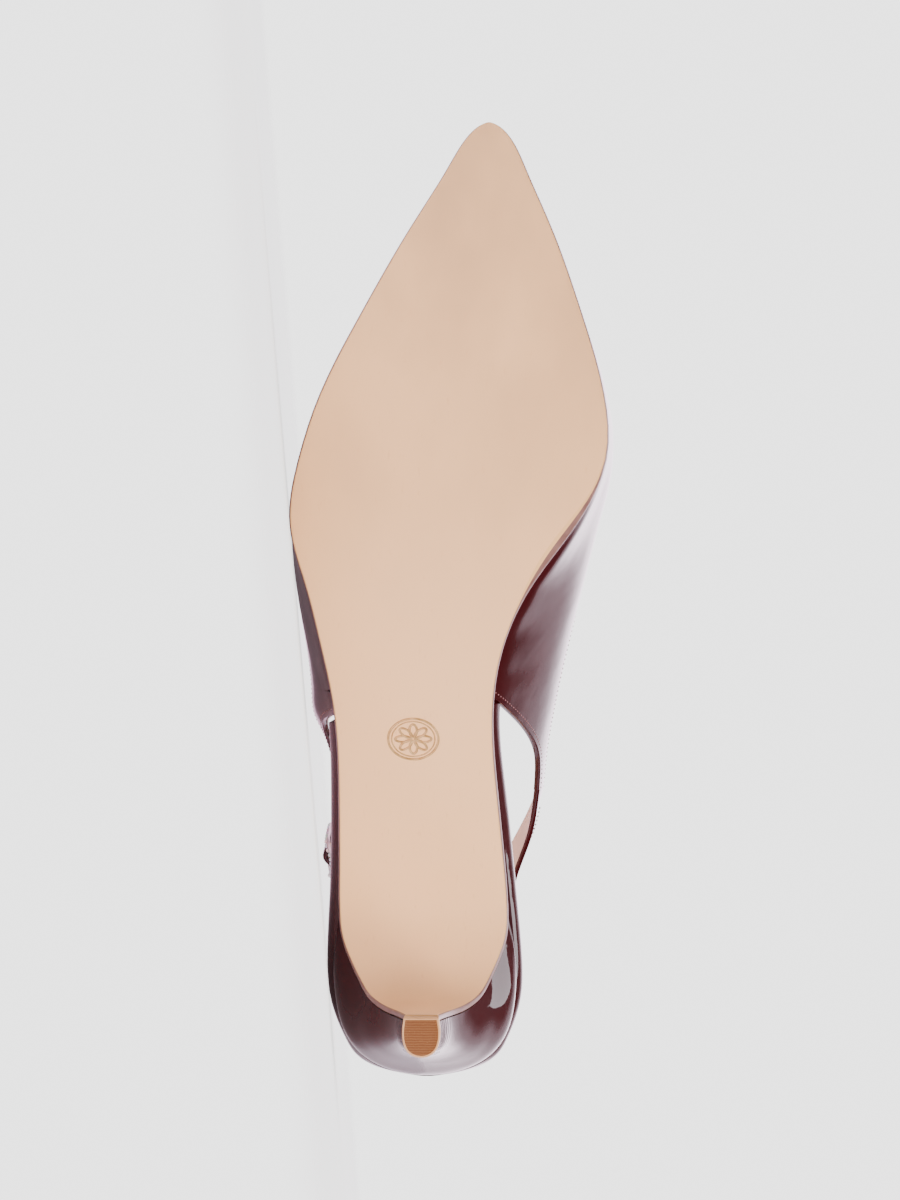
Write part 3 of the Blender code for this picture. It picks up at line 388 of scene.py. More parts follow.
print("ball", round(2 * float(sole_half(0.65 * LENGTH)) / MM, 1), "mm wide")

# %% [markdown]
# From points to a mesh
#
# Each skin is a set of patches: grids of points in the shoe's frame, with a UV map in metres and a finish.
# Modifiers on a coarse cage would be quicker to write, but they round off the edges that the reflections
# show. So the patches are joined, doubled points merged, and the faces turned outwards. The object stays at
# the origin and the points carry its place, as the export wants it.


# %% Patches to a piece
Patch = namedtuple("Patch", "points uv slot wrap", defaults=(None, 0, False))


def metre_uv(points, wrap):
    """UVs in metres: u along the rows, v across them."""
    grid = np.concatenate([points, points[:, :1]], 1) if wrap else points
    across = np.zeros(grid.shape[:2])
    across[:, 1:] = np.cumsum(np.linalg.norm(np.diff(grid, axis=1), axis=2), 1)
    along = np.zeros(len(grid))
    along[1:] = np.cumsum(np.linalg.norm(np.diff(grid.mean(1), axis=0), axis=1))
    return np.stack([np.broadcast_to(along[:, None], across.shape), across], 2)


def put(name, data):
    """An object at the origin, in the scene."""
    made = bpy.data.objects.new(name, data)
    bpy.context.scene.collection.objects.link(made)
    return made


def piece(name, patches, finishes, sharp=38):
    """Joins patches into one closed mesh at its place on the shoe."""
    verts, faces, slots, loops = [], [], [], []
    for patch in patches:
        grid = np.asarray(patch.points, float)
        uv = metre_uv(grid, patch.wrap) if patch.uv is None else np.asarray(patch.uv, float)
        rows, cols = grid.shape[:2]
        base = sum(len(block) for block in verts)
        verts.append(grid.reshape(-1, 3))
        kinds = np.broadcast_to(np.asarray(patch.slot), (rows - 1, cols if patch.wrap else cols - 1))
        for r in range(rows - 1):
            for c in range(kinds.shape[1]):
                d = (c + 1) % cols
                here, above = base + r * cols, base + (r + 1) * cols
                faces.append((here + c, here + d, above + d, above + c))
                slots.append(int(kinds[r, c]))
                e = c + 1 if uv.shape[1] > cols else d
                loops += [uv[r, c], uv[r, e], uv[r + 1, e], uv[r + 1, c]]
    points = np.concatenate(verts) @ np.array(PLACE.to_3x3()).T + np.array(PLACE.translation)
    mesh = bpy.data.meshes.new(name)
    mesh.from_pydata(points.tolist(), [], faces)
    mesh.uv_layers.new(name="UVMap").data.foreach_set("uv", np.array(loops, np.float32).ravel())
    mesh.polygons.foreach_set("material_index", np.array(slots, np.int32))
    form = bmesh.new()
    form.from_mesh(mesh)
    bmesh.ops.remove_doubles(form, verts=form.verts, dist=2e-6)
    bmesh.ops.dissolve_degenerate(form, edges=form.edges, dist=1e-7)
    bmesh.ops.recalc_face_normals(form, faces=form.faces)
    if form.calc_volume(signed=True) < 0:
        bmesh.ops.reverse_faces(form, faces=form.faces)
    loose = sum(not edge.is_manifold for edge in form.edges)
    form.to_mesh(mesh)
    form.free()
    mesh.shade_smooth()
    mesh.set_sharp_from_angle(angle=math.radians(sharp))
    for finish in finishes:
        mesh.materials.append(finish)
    made = put(name, mesh)
    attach(made, "root")
    print(name, "faces", len(mesh.polygons), "open edges", loose)
    return made


def cap(ring):
    """A patch that closes a ring: rows shrink to its middle."""
    ring = np.asarray(ring, float)
    middle = ring.mean(0)
    return np.stack([middle + (ring - middle) * k for k in (1.0, 0.6, 0.3, 0.0)])


def loft(rings, uv=None, slot=0, ends=(0, 0)):
    """The patches of a closed loft: its sections, and a cap on the first and on the last."""
    rings = np.array(rings)
    caps = [Patch(cap(ring), None, kind, True) for ring, kind in zip((rings[0], rings[-1]), ends)]
    return [Patch(rings, uv, slot, True), *caps]


# %% [markdown]
# Finishes
#
# Patent leather is a dark dyed hide under a thick clear lacquer: a coat over a nearly black burgundy base.
# The lacquer lies in long soft waves with a faint orange peel, which is what bends the edges of reflections.
# The sole is plain nude leather with a satin finish. Pictures of leather would do for one view, but they
# stretch and repeat. Each finish is built from a few nodes on Object coordinates or on the piece's own UV
# map, both in metres, so that its grain keeps its real size.


# %% A small kit for node materials
def add(tree, kind, links=None, **values):
    """A node with its properties and its inputs, by name or number, from sockets or plain values."""
    made = tree.nodes.new(kind)
    for name, value in values.items():
        setattr(made, name, value)
    for socket, source in (links or {}).items():
        if isinstance(source, bpy.types.NodeSocket):
            tree.links.new(source, made.inputs[socket])
        else:
            made.inputs[socket].default_value = source
    return made


class Finish:
    """A material with a Principled shader, and short calls to add nodes to it."""

    def __init__(self, name, colour, roughness, **sockets):
        self.material = bpy.data.materials.new(name)
        self.material.use_nodes = True
        self.tree = self.material.node_tree
        self.shader = self.tree.nodes["Principled BSDF"]
        self.shader.inputs["Base Color"].default_value = (*colour, 1)
        self.shader.inputs["Roughness"].default_value = roughness
        for socket, value in sockets.items():
            self.shader.inputs[socket.replace("_", " ")].default_value = value
        self.material.diffuse_color = (*colour, 1)
        print("finish", name)

    def node(self, kind, links=None, **values):
        return add(self.tree, "ShaderNode" + kind, links, **values)

    def place(self, kind="Object", scale=(1, 1, 1)):
        """Coordinates in metres, stretched where the scale is under 1."""
        source = self.node("TexCoord").outputs[kind]
        return self.node("Mapping", {"Vector": source, "Scale": scale}).outputs[0]

    def noise(self, at, scale, detail=2.0, roughness=0.5):
        """Soft spots, about so many to the metre as the scale says."""
        links = {"Vector": at, "Scale": scale, "Detail": detail, "Roughness": roughness}
        return self.node("TexNoise", links).outputs["Fac"]

    def between(self, value, low, high, start=0.0, end=1.0):
        """Start to end, as the value goes from low to high."""
        links = {"Value": value, "From Min": low, "From Max": high, "To Min": start, "To Max": end}
        return self.node("MapRange", links).outputs[0]

    def ramp(self, factor, low, high, colours=((0, 0, 0, 1), (1, 1, 1, 1))):
        made = self.node("ValToRGB", {"Fac": factor})
        ends = made.color_ramp.elements
        ends[0].position, ends[1].position = low, high
        ends[0].color, ends[1].color = colours
        return made.outputs["Color"]

    def blend(self, factor, a, b):
        a, b = [(*colour, 1) if isinstance(colour, tuple) else colour for colour in (a, b)]
        return self.node("Mix", {0: factor, 6: a, 7: b}, data_type="RGBA").outputs[2]

    def maths(self, kind, *values):
        return self.node("Math", dict(enumerate(values)), operation=kind).outputs[0]

    def bump(self, height, depth, before=None, coat=False):
        """Relief of a real depth on the hide, on top of an earlier one, and in the lacquer if it has one."""
        links = {"Height": height, "Distance": depth}
        if before is not None:
            links["Normal"] = before
        normal = self.node("Bump", links).outputs[0]
        self.tree.links.new(normal, self.shader.inputs["Normal"])
        if coat:
            self.tree.links.new(normal, self.shader.inputs["Coat Normal"])
        return normal

    def feed(self, socket, source):
        self.tree.links.new(source, self.shader.inputs[socket])


# %% Burgundy patent leather
patent = Finish(
    "patent_leather",
    (0.026, 0.0010, 0.0017),
    0.45,
    Coat_Weight=1.0,
    Coat_Roughness=0.03,
    Coat_IOR=1.42,
    Specular_IOR_Level=0.05,
)
at = patent.place()
tone = patent.ramp(patent.noise(at, 60, 3), 0.3, 0.7)
patent.feed("Base Color", patent.blend(tone, (0.023, 0.0008, 0.0014), (0.029, 0.0012, 0.0020)))
waves = patent.bump(patent.noise(at, 95, 1.5), 0.16 * MM, coat=True)
patent.bump(patent.noise(at, 700, 2), 0.008 * MM, waves, coat=True)

# %% [markdown]
# Sole leather
#
# The sole's colour is not one even tone: it is a little darker towards the toe, and a painted shade makes it
# browner down the breast, which faces away from the light. The map's u is the run from the toe, so both shades
# follow it. Faint clouds, drawn-out fibres and a few dark pores lie over them, each a noise or a cell pattern
# blended into the colour.

# %% Nude sole leather, its trimmed edge and the painted side
SOLE_TONE, TOE_TONE, BREAST_PAINTED_SHADE_TONE = (0.835, 0.512, 0.275), (0.600, 0.365, 0.203), (0.36, 0.188, 0.090)
TOE_SHADE_END = 0.19
# the run along the sole over which the painted shade of the breast comes in
BREAST_PAINTED_SHADE_SPAN = (0.228, 0.280)
sole_leather = Finish("nude_sole_leather", SOLE_TONE, 0.44, Specular_IOR_Level=0.42)
at = sole_leather.place("UV")
run = sole_leather.node("SeparateXYZ", {"Vector": sole_leather.node("TexCoord").outputs["UV"]}).outputs[0]
cloud = sole_leather.noise(sole_leather.place("UV", (0.6, 1, 1)), 32, 3)
base = sole_leather.blend(sole_leather.between(run, TOE_SHADE_END, 0.0), SOLE_TONE, TOE_TONE)
# painted shade: the sole turns browner down the breast, which faces away from the light
base = sole_leather.blend(sole_leather.between(run, *BREAST_PAINTED_SHADE_SPAN), base, BREAST_PAINTED_SHADE_TONE)
base = sole_leather.blend(sole_leather.ramp(cloud, 0.35, 0.65), base, (0.805, 0.488, 0.260))
fibres = sole_leather.noise(sole_leather.place("UV", (0.25, 1, 1)), 900, 3, 0.6)
base = sole_leather.blend(sole_leather.ramp(fibres, 0.62, 0.80), base, (0.72, 0.41, 0.22))
cells = sole_leather.node("TexVoronoi", {"Vector": at, "Scale": 420.0}).outputs
rare = sole_leather.maths("GREATER_THAN", cells["Color"], 0.93)
dot = sole_leather.maths("MULTIPLY", sole_leather.maths("LESS_THAN", cells["Distance"], 0.10), rare)
base = sole_leather.blend(sole_leather.maths("MULTIPLY", dot, 0.5), base, (0.50, 0.28, 0.16))
sole_leather.feed("Base Color", base)
sole_leather.feed("Roughness", sole_leather.between(cloud, 0.3, 0.7, 0.40, 0.50))
soft = sole_leather.bump(sole_leather.noise(at, 60, 2), 0.06 * MM)
sole_leather.bump(fibres, 0.018 * MM, soft)

bevel_leather = Finish("trimmed_sole_edge", (0.70, 0.42, 0.20), 0.42)
bevel_leather.bump(bevel_leather.noise(bevel_leather.place(), 900, 2), 0.01 * MM)
edge_paint = Finish("painted_sole_edge", (0.17, 0.088, 0.083), 0.35, Coat_Weight=0.3, Coat_Roughness=0.2)
tone = edge_paint.ramp(edge_paint.noise(edge_paint.place(), 260, 3), 0.3, 0.7)
edge_paint.feed("Base Color", edge_paint.blend(tone, (0.145, 0.070, 0.066), (0.20, 0.108, 0.100)))
edge_paint.bump(edge_paint.noise(edge_paint.place(), 1200, 2), 0.015 * MM)

# %% Lining, insole sock and top lift
lining = Finish("nude_lining", (0.62, 0.41, 0.285), 0.55)
pores = lining.node("TexVoronoi", {"Vector": lining.place("UV"), "Scale": 1300.0}).outputs["Distance"]
shade = lining.ramp(lining.noise(lining.place("UV"), 120, 3), 0.3, 0.7)
base = lining.blend(shade, (0.60, 0.395, 0.275), (0.66, 0.44, 0.31))
lining.feed("Base Color", lining.blend(lining.ramp(pores, 0.06, 0.20), (0.54, 0.34, 0.22), base))
lining.bump(pores, 0.04 * MM)

lift_rubber = Finish("tan_top_lift", (0.16, 0.064, 0.024), 0.55, Specular_IOR_Level=0.3)
at = lift_rubber.place("UV")
ribs = {"Vector": at, "Scale": 480.0, "Distortion": 1.5, "Detail": 2.0}
lines = lift_rubber.node("TexWave", ribs, bands_direction="X").outputs["Fac"]
crumbs = lift_rubber.noise(at, 2200, 3, 0.7)
base = lift_rubber.blend(lift_rubber.ramp(lines, 0.2, 0.9), (0.135, 0.052, 0.019), (0.185, 0.076, 0.029))
base = lift_rubber.blend(lift_rubber.ramp(crumbs, 0.62, 0.72), base, (0.30, 0.14, 0.060))
lift_rubber.feed("Base Color", base)
ribbed = lift_rubber.bump(lines, 0.03 * MM)
lift_rubber.bump(crumbs, 0.03 * MM, ribbed)
lift_edge = Finish("top_lift_edge", (0.50, 0.28, 0.14), 0.42)
lift_edge.bump(lift_edge.noise(lift_edge.place(), 1500, 2), 0.01 * MM)

# %% Metal, stones, thread and foil
pale_metal = Finish("pale_buckle_metal", (0.82, 0.79, 0.76), 0.18, Metallic=1.0)
pale_metal.bump(pale_metal.noise(pale_metal.place(), 900, 2), 0.006 * MM)
stone = Finish("clear_stone", (0.86, 0.88, 0.93), 0.03, Coat_Weight=1.0, Coat_Roughness=0.01, IOR=2.0)
glint = stone.node("TexVoronoi", {"Vector": stone.place(), "Scale": 900.0}).outputs["Color"]
stone.feed("Base Color", stone.blend(0.35, (0.86, 0.88, 0.93), glint))
thread = Finish("burgundy_thread", (0.16, 0.045, 0.05), 0.5, Sheen_Weight=0.2)
twist = {"Vector": thread.place(), "Scale": 1800.0}
ply = thread.node("TexWave", twist, bands_direction="DIAGONAL").outputs["Fac"]
thread.feed("Base Color", thread.blend(ply, (0.12, 0.030, 0.035), (0.21, 0.068, 0.075)))
thread.bump(ply, 0.03 * MM)
foil = Finish("gold_foil", (0.62, 0.40, 0.17), 0.22, Metallic=0.5)
worn = foil.ramp(foil.noise(foil.place(), 700, 3), 0.3, 0.7)
foil.feed("Base Color", foil.blend(worn, (0.46, 0.27, 0.10), (0.72, 0.50, 0.24)))
foil.bump(foil.noise(foil.place(), 1400, 2), 0.02 * MM)
print("finishes", len(bpy.data.materials))

# %% [markdown]
# Outsole
#
# One piece of nude leather runs from the toe over the waist and down the heel's breast, where it ends in a
# small lip in front of the top lift. Its edge is trimmed to a bevel and painted. A flat outline could be
# extruded and bent, but its bevel would be of one width. So it is a loft: at each station a closed section
# stands square to the sole's line, and the bevel widens at the inner side of the ball.


# %% The breast's line and the sole's thickness there
def breast_line():
    """The underside from the waist down the breast to the lift, as functions of the run along it."""
    here = BREAST_TOP
    slope = (underside(here) - underside(here + STEP)) / STEP
    points = [(here, underside(here), float(sole_half(here)))]
    for row in reversed(HEEL):
        points.append((row.front * LENGTH, row.front_height * HEEL_HEIGHT, row.half * SEAT_WIDTH))
    run = running([p[:2] for p in points])
    level = math.hypot(1, slope)
    x = smooth(run, [p[0] for p in points], start=-1 / level)
    z = smooth(run, [p[1] for p in points], start=slope / level)
    return x, z, smooth(run, [p[2] for p in points]), run


breast_x, breast_z, breast_half, BREAST_RUNS = breast_line()
SEAT_RUN, THIN_RUN, LIFT_RUN = BREAST_RUNS[1], BREAST_RUNS[4], BREAST_RUNS[-1]


def breast_frame(at):
    """Point and outward direction of the breast's face at a run along it, and its half width."""
    low, high = max(at - STEP, 0), min(at + STEP, LIFT_RUN)
    along = Vector((breast_x(high) - breast_x(low), 0, breast_z(high) - breast_z(low))).normalized()
    point = Vector((breast_x(at), 0, breast_z(at)))
    return point, Vector((-along.z, 0, along.x)), float(breast_half(at))


def breast_centre(x):
    """The heel's middle line meets the sole's at the breast."""
    share = (x - HEEL[0].front * LENGTH) / (BREAST_TOP - HEEL[0].front * LENGTH)
    return min(max(share, 0), 1) * float(sole_centre(BREAST_TOP))


def flap_thickness(at):
    """The sole fills the wedge under the insole where it turns down, then thins over the breast."""
    point, out, half = breast_frame(min(at, SEAT_RUN))
    full = (feather(point.x) - point.z) * abs(out.z) - 2 * GAP * min(at, SEAT_RUN) / SEAT_RUN
    share = ease((at - SEAT_RUN) / (THIN_RUN - SEAT_RUN))
    return full + (FLAP_THICKNESS - full) * share


# %% Loft the outsole
BOTTOM_POINTS, BEVEL_POINTS, LIGHT_BEVEL = 10, 8, 2
WIDE_BEVEL_AT, WIDE_BEVEL_REACH, WIDE_BEVEL = 0.566 * LENGTH, 12 * MM, 2.6 * MM
SIDE_HEIGHT = 0.75
SIDE_UV = 10 * MM


def sole_profile(half, wider=0.0):
    """Half of the section from the bottom's middle to the top's: (across, share of thickness, finish)."""
    bevel = min(SOLE_BEVEL + wider, half / 3)
    rows = [((half - bevel) * k / BOTTOM_POINTS, 0.0, 0) for k in range(BOTTOM_POINTS)]
    for k in range(BEVEL_POINTS):
        angle = math.pi / 2 * k / BEVEL_POINTS
        kind = 1 if k < LIGHT_BEVEL else 2
        rows.append((half - bevel + bevel * math.sin(angle), BEVEL_HEIGHT * (1 - math.cos(angle)), kind))
    rows += [(half, BEVEL_HEIGHT, 2), (half, SIDE_HEIGHT, 2)]
    return rows + [(half, 1.0, 0), (half / 2, 1.0, 0), (0.0, 1.0, 0)]


def sole_section(point, inward, centre, half, thickness, run):
    """Closed section with its UVs: u is the run from the toe, v across."""
    wider = WIDE_BEVEL * math.exp(-(((point.x - WIDE_BEVEL_AT) / WIDE_BEVEL_REACH) ** 2))
    right = sole_profile(half, wider)
    left = [(-y, share, kind) for y, share, kind in sole_profile(half)[-2:0:-1]]
    ring, uv = [], []
    for y, share, _ in right + left:
        ring.append(point + Vector((0, centre + y, 0)) + inward * (share * thickness))
        uv.append((run, centre + y + share * SIDE_UV))
    uv.append(uv[0])
    return ring, uv


stations = spread(LENGTH - STEP / 10, TREAD_FRONT, 70, "low") + spread(TREAD_FRONT, TREAD_BACK, 8)[1:]
stations += spread(TREAD_BACK, BREAST_TOP, 50)[1:]
rings, uvs = [], []
run, last = 0.0, None
for x in stations:
    low, high = x - STEP, min(x + STEP, LENGTH)
    along = Vector((high - low, 0, underside(high) - underside(low))).normalized()
    up = Vector((-along.z, 0, along.x))
    point = Vector((x, 0, underside(x)))
    run += (point - last).length if last else 0.0
    last = point
    ring, uv = sole_section(point, up, float(sole_centre(x)), float(sole_half(x)), SOLE_THICKNESS, run)
    rings.append(ring)
    uvs.append(uv)
for at in spread(0, SEAT_RUN, 14)[1:] + spread(SEAT_RUN, LIFT_RUN, 60)[1:]:
    point, out, half = breast_frame(at)
    run += (point - last).length
    last = point
    ring, uv = sole_section(point, -out, breast_centre(point.x), half, flap_thickness(at), run)
    rings.append(ring)
    uvs.append(uv)
kinds = [kind for _, _, kind in sole_profile(1.0)]
kinds = kinds[:-1] + kinds[:-1][::-1]
outsole = piece(
    "outsole_leather",
    loft(rings, np.array(uvs), np.array(kinds), (2, 1)),
    [sole_leather.material, bevel_leather.material, edge_paint.material],
)
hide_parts("outsole")
print("sole measures", round(run / MM), "mm along its line")

# %% [markdown]
# Heel and top lift
#
# The heel is moulded plastic covered in the same patent leather: D-shaped sections, hollowed towards the
# tip, their flat fronts behind the sole's flap. It could be sculpted, but a table of nine levels says what
# its maker would: how wide and how deep it is at each height. The cover is gathered over the lift, which is
# a small tan slip with a trimmed, paler rim.


# %% Loft the heel
FLAT_SHARES = (-0.6, -0.2, 0.2, 0.6)


def d_ring(front, back, half, swell, heights, top=None, count=34, inset=0.0):
    """A whole D-shaped section; its height runs from the front's to the back's, or follows top(x)."""
    outline = []
    for share in spread(0, 1, count, "high"):
        wide = half + swell * math.sin(min(share / SWELL_END, 1) * math.pi / 2)
        closing = max(1 - share**BACK_ROUNDNESS, 0) ** BACK_CLOSING
        outline.append((front + (back - front) * share, wide * closing))
    ring = []
    scale = 1 - inset / max(half, inset)
    centre_x = (front + back) / 2
    for x, y in outline + [(x, -y) for x, y in outline[-2::-1]]:
        share = (front - x) / (front - back)
        height = heights[0] + (heights[1] - heights[0]) * share
        middle = breast_centre(front) * (1 - share)
        place = (centre_x + (x - centre_x) * scale, middle + y * scale)
        ring.append(Vector((*place, top(x) if top else height)))
    for side in FLAT_SHARES:
        middle = breast_centre(front) + half * scale * side
        ring.append(Vector((centre_x + (front - centre_x) * scale, middle, ring[0].z)))
    return ring


rows = HEEL[::-1]
heel_back = smooth(BREAST_RUNS[1:], [row.back * LENGTH for row in rows])
heel_back_height = smooth(BREAST_RUNS[1:], [row.back_height * HEEL_HEIGHT for row in rows])
heel_swell = smooth(BREAST_RUNS[1:], [row.swell * SEAT_WIDTH for row in rows])
FOLD_DEPTH, FOLD_PITCH, FOLD_TOP = 0.11 * MM, 1.7 * MM, 14 * MM
FOLD_START, FOLD_FADE, FOLD_BACK = 6, 1.6, 0.35
FOLD_WANDER = (1.3, 0.5)


def folds(ring):
    """Fine gathers of the cover in the hollow over the lift, deepest at its sides."""
    middle = sum(ring, Vector()) / len(ring)
    for point in ring:
        off = (point - middle) * Vector((1, 1, 0))
        turn = math.atan2(off.y, -off.x)
        share = (point.z - LIFT_HEIGHT) / FOLD_TOP
        window = float(ease(share * FOLD_START) * ease(FOLD_FADE - FOLD_FADE * share))
        window *= FOLD_BACK + (1 - FOLD_BACK) * abs(math.sin(turn))
        wander = FOLD_WANDER[0] * math.cos(2 * turn) + FOLD_WANDER[1] * math.sin(5 * turn)
        wave = math.sin(2 * math.pi * point.z / FOLD_PITCH + wander)
        point += off.normalized() * FOLD_DEPTH * window * wave
    return ring


rings = []
stops = spread(LIFT_RUN, LIFT_RUN - FOLD_TOP, 70) + spread(LIFT_RUN - FOLD_TOP, SEAT_RUN, 60)[1:]
for at in stops:
    point, out, half = breast_frame(at)
    front = point - out * (flap_thickness(at) + BREAST_GAP)
    heights = (front.z, float(heel_back_height(at)))
    if at == stops[0]:
        heights = (LIFT_HEIGHT + GAP / 3, LIFT_HEIGHT + GAP / 3)
    top = feather if at == stops[-1] else None
    ring = d_ring(front.x, float(heel_back(at)), half - FLAP_INSET, float(heel_swell(at)), heights, top)
    rings.append(folds(ring))
heel = piece("heel_cover", loft(rings), [patent.material])
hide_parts("heel")

# %% Build the top lift with its trimmed rim
LIFT_RIM = 0.45 * MM
first = HEEL[0]
LIFT_LEVELS = ((0.0, LIFT_RIM), (0.12 * MM, LIFT_RIM / 3), (0.4 * MM, 0.0), (LIFT_HEIGHT, 0.0))
size = (first.front * LENGTH - LIP, first.back * LENGTH, first.half * SEAT_WIDTH, first.swell * SEAT_WIDTH)
rim = [np.array(d_ring(*size, (z, z), inset=inset)) for z, inset in LIFT_LEVELS]
face = cap(rim[0])
top_lift = piece(
    "top_lift_slip",
    [
        Patch(np.stack(rim), None, 1, True),
        Patch(face, np.concatenate([face, face[:, :1]], 1)[:, :, :2], 0, True),
        Patch(cap(rim[-1]), None, 0, True),
    ],
    [lift_rubber.material, lift_edge.material],
)
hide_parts("top_lift")

# %% [markdown]
# Insole
#
# A board covered in patent leather, so that its rim shows behind the wings and round the seat, and a nude
# leather sock glued on top. A Solidify modifier on an outline would give one edge all round. Both are lofts
# instead, because their edges draw in where they pass inside the upper.


# %% Edges of the board and the sock
def upper_foot(x):
    """Where the upper's outer face meets the sole, across from the middle."""
    return max(float(sole_half(x)) - FEATHER_INSET, 2 * STEP)


def rim_end(side):
    """Over this stretch the board's edge draws in to pass inside the wing."""
    edge = REAR_EDGE_INNER if side > 0 else REAR_EDGE_OUTER
    start = edge[-1].along * LENGTH
    return start - RIM_END[1], start - RIM_END[0]


def board_edge(x, side):
    """y of the board's edge: its own rim behind the wing, inside the upper in front of it."""
    inside = float(sole_centre(x)) + side * max(upper_foot(x) - WALL - 2 * GAP, GAP)
    low, high = rim_end(side)
    if x >= high:
        return inside
    rim = float(seat_centre(x)) + side * float(seat_half(x))
    return rim + (inside - rim) * max((x - low) / (high - low), 0)


def board_thickness(x):
    start, end = BOARD_THINS
    share = float(ease((x - start) / (end - start)))
    return BOARD_THICKNESS + (BOARD_TOE_THICKNESS - BOARD_THICKNESS) * share


def sock_edge(x, side):
    inset = SOCK_INSET if x < SOCK_TOE else SOCK_TOE_INSET
    return board_edge(x, side) - side * inset


RIM_SHARES = (0, 0.4, 0.72, 1)
rim_tuck = smooth(RIM_SHARES, [rim.tuck for rim in INSOLE_RIM])
rim_up = smooth(RIM_SHARES, [rim.up for rim in INSOLE_RIM], end=0.3)


def insole_ring(x, low, high, edge, tuck):
    """Section of a layer of the insole, its lower corners tucked in under the rim."""
    inner, outer = edge(x, 1), edge(x, -1)
    tuck = min(tuck, (inner - outer) / 6)
    shares = np.linspace(0, 1, 14)
    tucks, ups = rim_tuck(shares) * tuck, np.clip(rim_up(shares), 0, 1)
    right = [(inner - t, low + u * (high - low)) for t, u in zip(tucks, ups)]
    left = [(outer + t, low + u * (high - low)) for t, u in zip(tucks, ups)][::-1]
    across = [(y, high) for y in np.linspace(inner - tucks[-1], outer + tucks[-1], 7)[1:-1]]
    under = [(y, low) for y in np.linspace(outer + tucks[0], inner - tucks[0], 5)[1:-1]]
    return [Vector((x, y, z)) for y, z in right + across + left + under]


def insole_stations(front):
    steps = sorted(rim_end(-1) + rim_end(1))
    stations = spread(STEP / 5, steps[0], 90, "low")
    for a, b in zip(steps, steps[1:]):
        stations += spread(a, b, 8)[1:]
    return stations + spread(steps[-1], front, 60)[1:]


# %% Loft the board and the sock
rings = []
for x in insole_stations(LENGTH - TOE_FILL - BOARD_ROOM):
    low = feather(x) + GAP / 2
    tuck = BOARD_TUCK if x < rim_end(1)[1] else BOARD_EDGE
    rings.append(insole_ring(x, low, low + board_thickness(x), board_edge, tuck))
board = piece("insole_rim", loft(rings), [patent.material])
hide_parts("insole_board")
rings = []
for x in insole_stations(LENGTH - TOE_FILL - SOCK_ROOM)[4:]:
    low = feather(x) + board_thickness(x) + GAP
    rings.append(insole_ring(x, low, low + SOCK_THICKNESS, sock_edge, SOCK_TUCK))
sock = piece("insole_sock_leather", loft(rings), [lining.material])
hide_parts("insole_sock")

# %% [markdown]
# Upper
#
# One vamp of patent leather runs back into two wings. Its top and rear edges are turned in and stitched,
# and a nude lining lies inside, cut a little short of the edge. A modelled surface with a Solidify modifier
# could not say where the leather is turned in. So the wall is worked out as a sheet: a point on it is given
# by its station x, its share of the way up from the feather line to the crown, and its depth in the wall.
# The leather and the lining are two closed shells of that sheet.


# %% The wall as a sheet
SECTIONS = {}
Crease = namedtuple("Crease", "along side up reach width_mm height_mm lean_mm")
CREASES = (
    Crease(0.428, 1, 0.05, 0.09, 2.2, -0.16, 8),
    Crease(0.446, 1, 0.04, 0.07, 2.0, 0.12, 6),
    Crease(0.470, 1, 0.05, 0.10, 2.6, -0.18, 10),
    Crease(0.498, 1, 0.04, 0.08, 2.2, 0.12, 8),
    Crease(0.520, 1, 0.05, 0.08, 2.4, -0.13, 6),
    Crease(0.600, 1, 0.40, 0.30, 6.0, -0.10, 18),
    Crease(0.640, 1, 0.60, 0.35, 7.0, 0.08, 14),
    Crease(0.418, -1, 0.05, 0.09, 2.2, -0.15, 6),
    Crease(0.440, -1, 0.05, 0.08, 2.2, 0.12, 8),
    Crease(0.475, -1, 0.04, 0.08, 2.4, -0.14, 6),
    Crease(0.610, -1, 0.45, 0.30, 6.0, -0.10, 16),
    Crease(0.650, -1, 0.60, 0.30, 7.0, 0.08, 14),
)


def section(x, side):
    """The wall's outer face at x as functions of the share, and the length up to the crown."""
    key = (round(x, 7), side)
    if key not in SECTIONS:
        foot = upper_foot(x)
        out = foot + float(wall_out[side](x))
        belly, crown, ridge = float(belly_height(x)), float(crown_height(x)), side * float(ridge_shift(x))
        points = [(foot, 0), (foot + SIDE_BEND.out * (out - foot), SIDE_BEND.up * belly), (out, belly)]
        for bend in CROWN_BENDS:
            points.append((ridge + bend.out * (out - ridge), belly + bend.up * (crown - belly)))
        points.append((ridge, crown))
        run = running(points)
        shares = [r / run[-1] for r in run]
        across = smooth(shares, [p[0] for p in points], end=-run[-1])
        height = smooth(shares, [p[1] for p in points], end=0.0)
        SECTIONS[key] = across, height, run[-1]
    return SECTIONS[key]


FOOT_ROUND, FOOT_REACH, FOOT_FADE = 0.34 * MM, 2.4 * MM, 12 * MM
BALL_ROUND, BALL_AT, BALL_REACH = 2.6, 0.565 * LENGTH, 0.05 * LENGTH
FLAT_AHEAD, ROUND_BEHIND = 0.80 * LENGTH, 0.70 * LENGTH


def crease(x, side, share):
    """How far the leather stands proud: round over its foot, most at the inner ball, and in soft creases."""
    up = np.asarray(share, float) * section(x, side)[2]
    total = FOOT_ROUND * (1 - np.exp(-((up / FOOT_REACH) ** 2))) * np.exp(-((up / FOOT_FADE) ** 2))
    if side > 0:
        total = total * (1 + BALL_ROUND * math.exp(-(((x - BALL_AT) / BALL_REACH) ** 2)))
    total = total * ease((FLAT_AHEAD - x) / (FLAT_AHEAD - ROUND_BEHIND))
    for row in CREASES:
        if row.side == side:
            off = (x - row.along * LENGTH) / MM - row.lean_mm * (share - row.up)
            fade = np.exp(-((off / row.width_mm) ** 2) - ((share - row.up) / row.reach) ** 2)
            total = total + row.height_mm * MM * fade
    return total


SHARE_STEP = 0.004


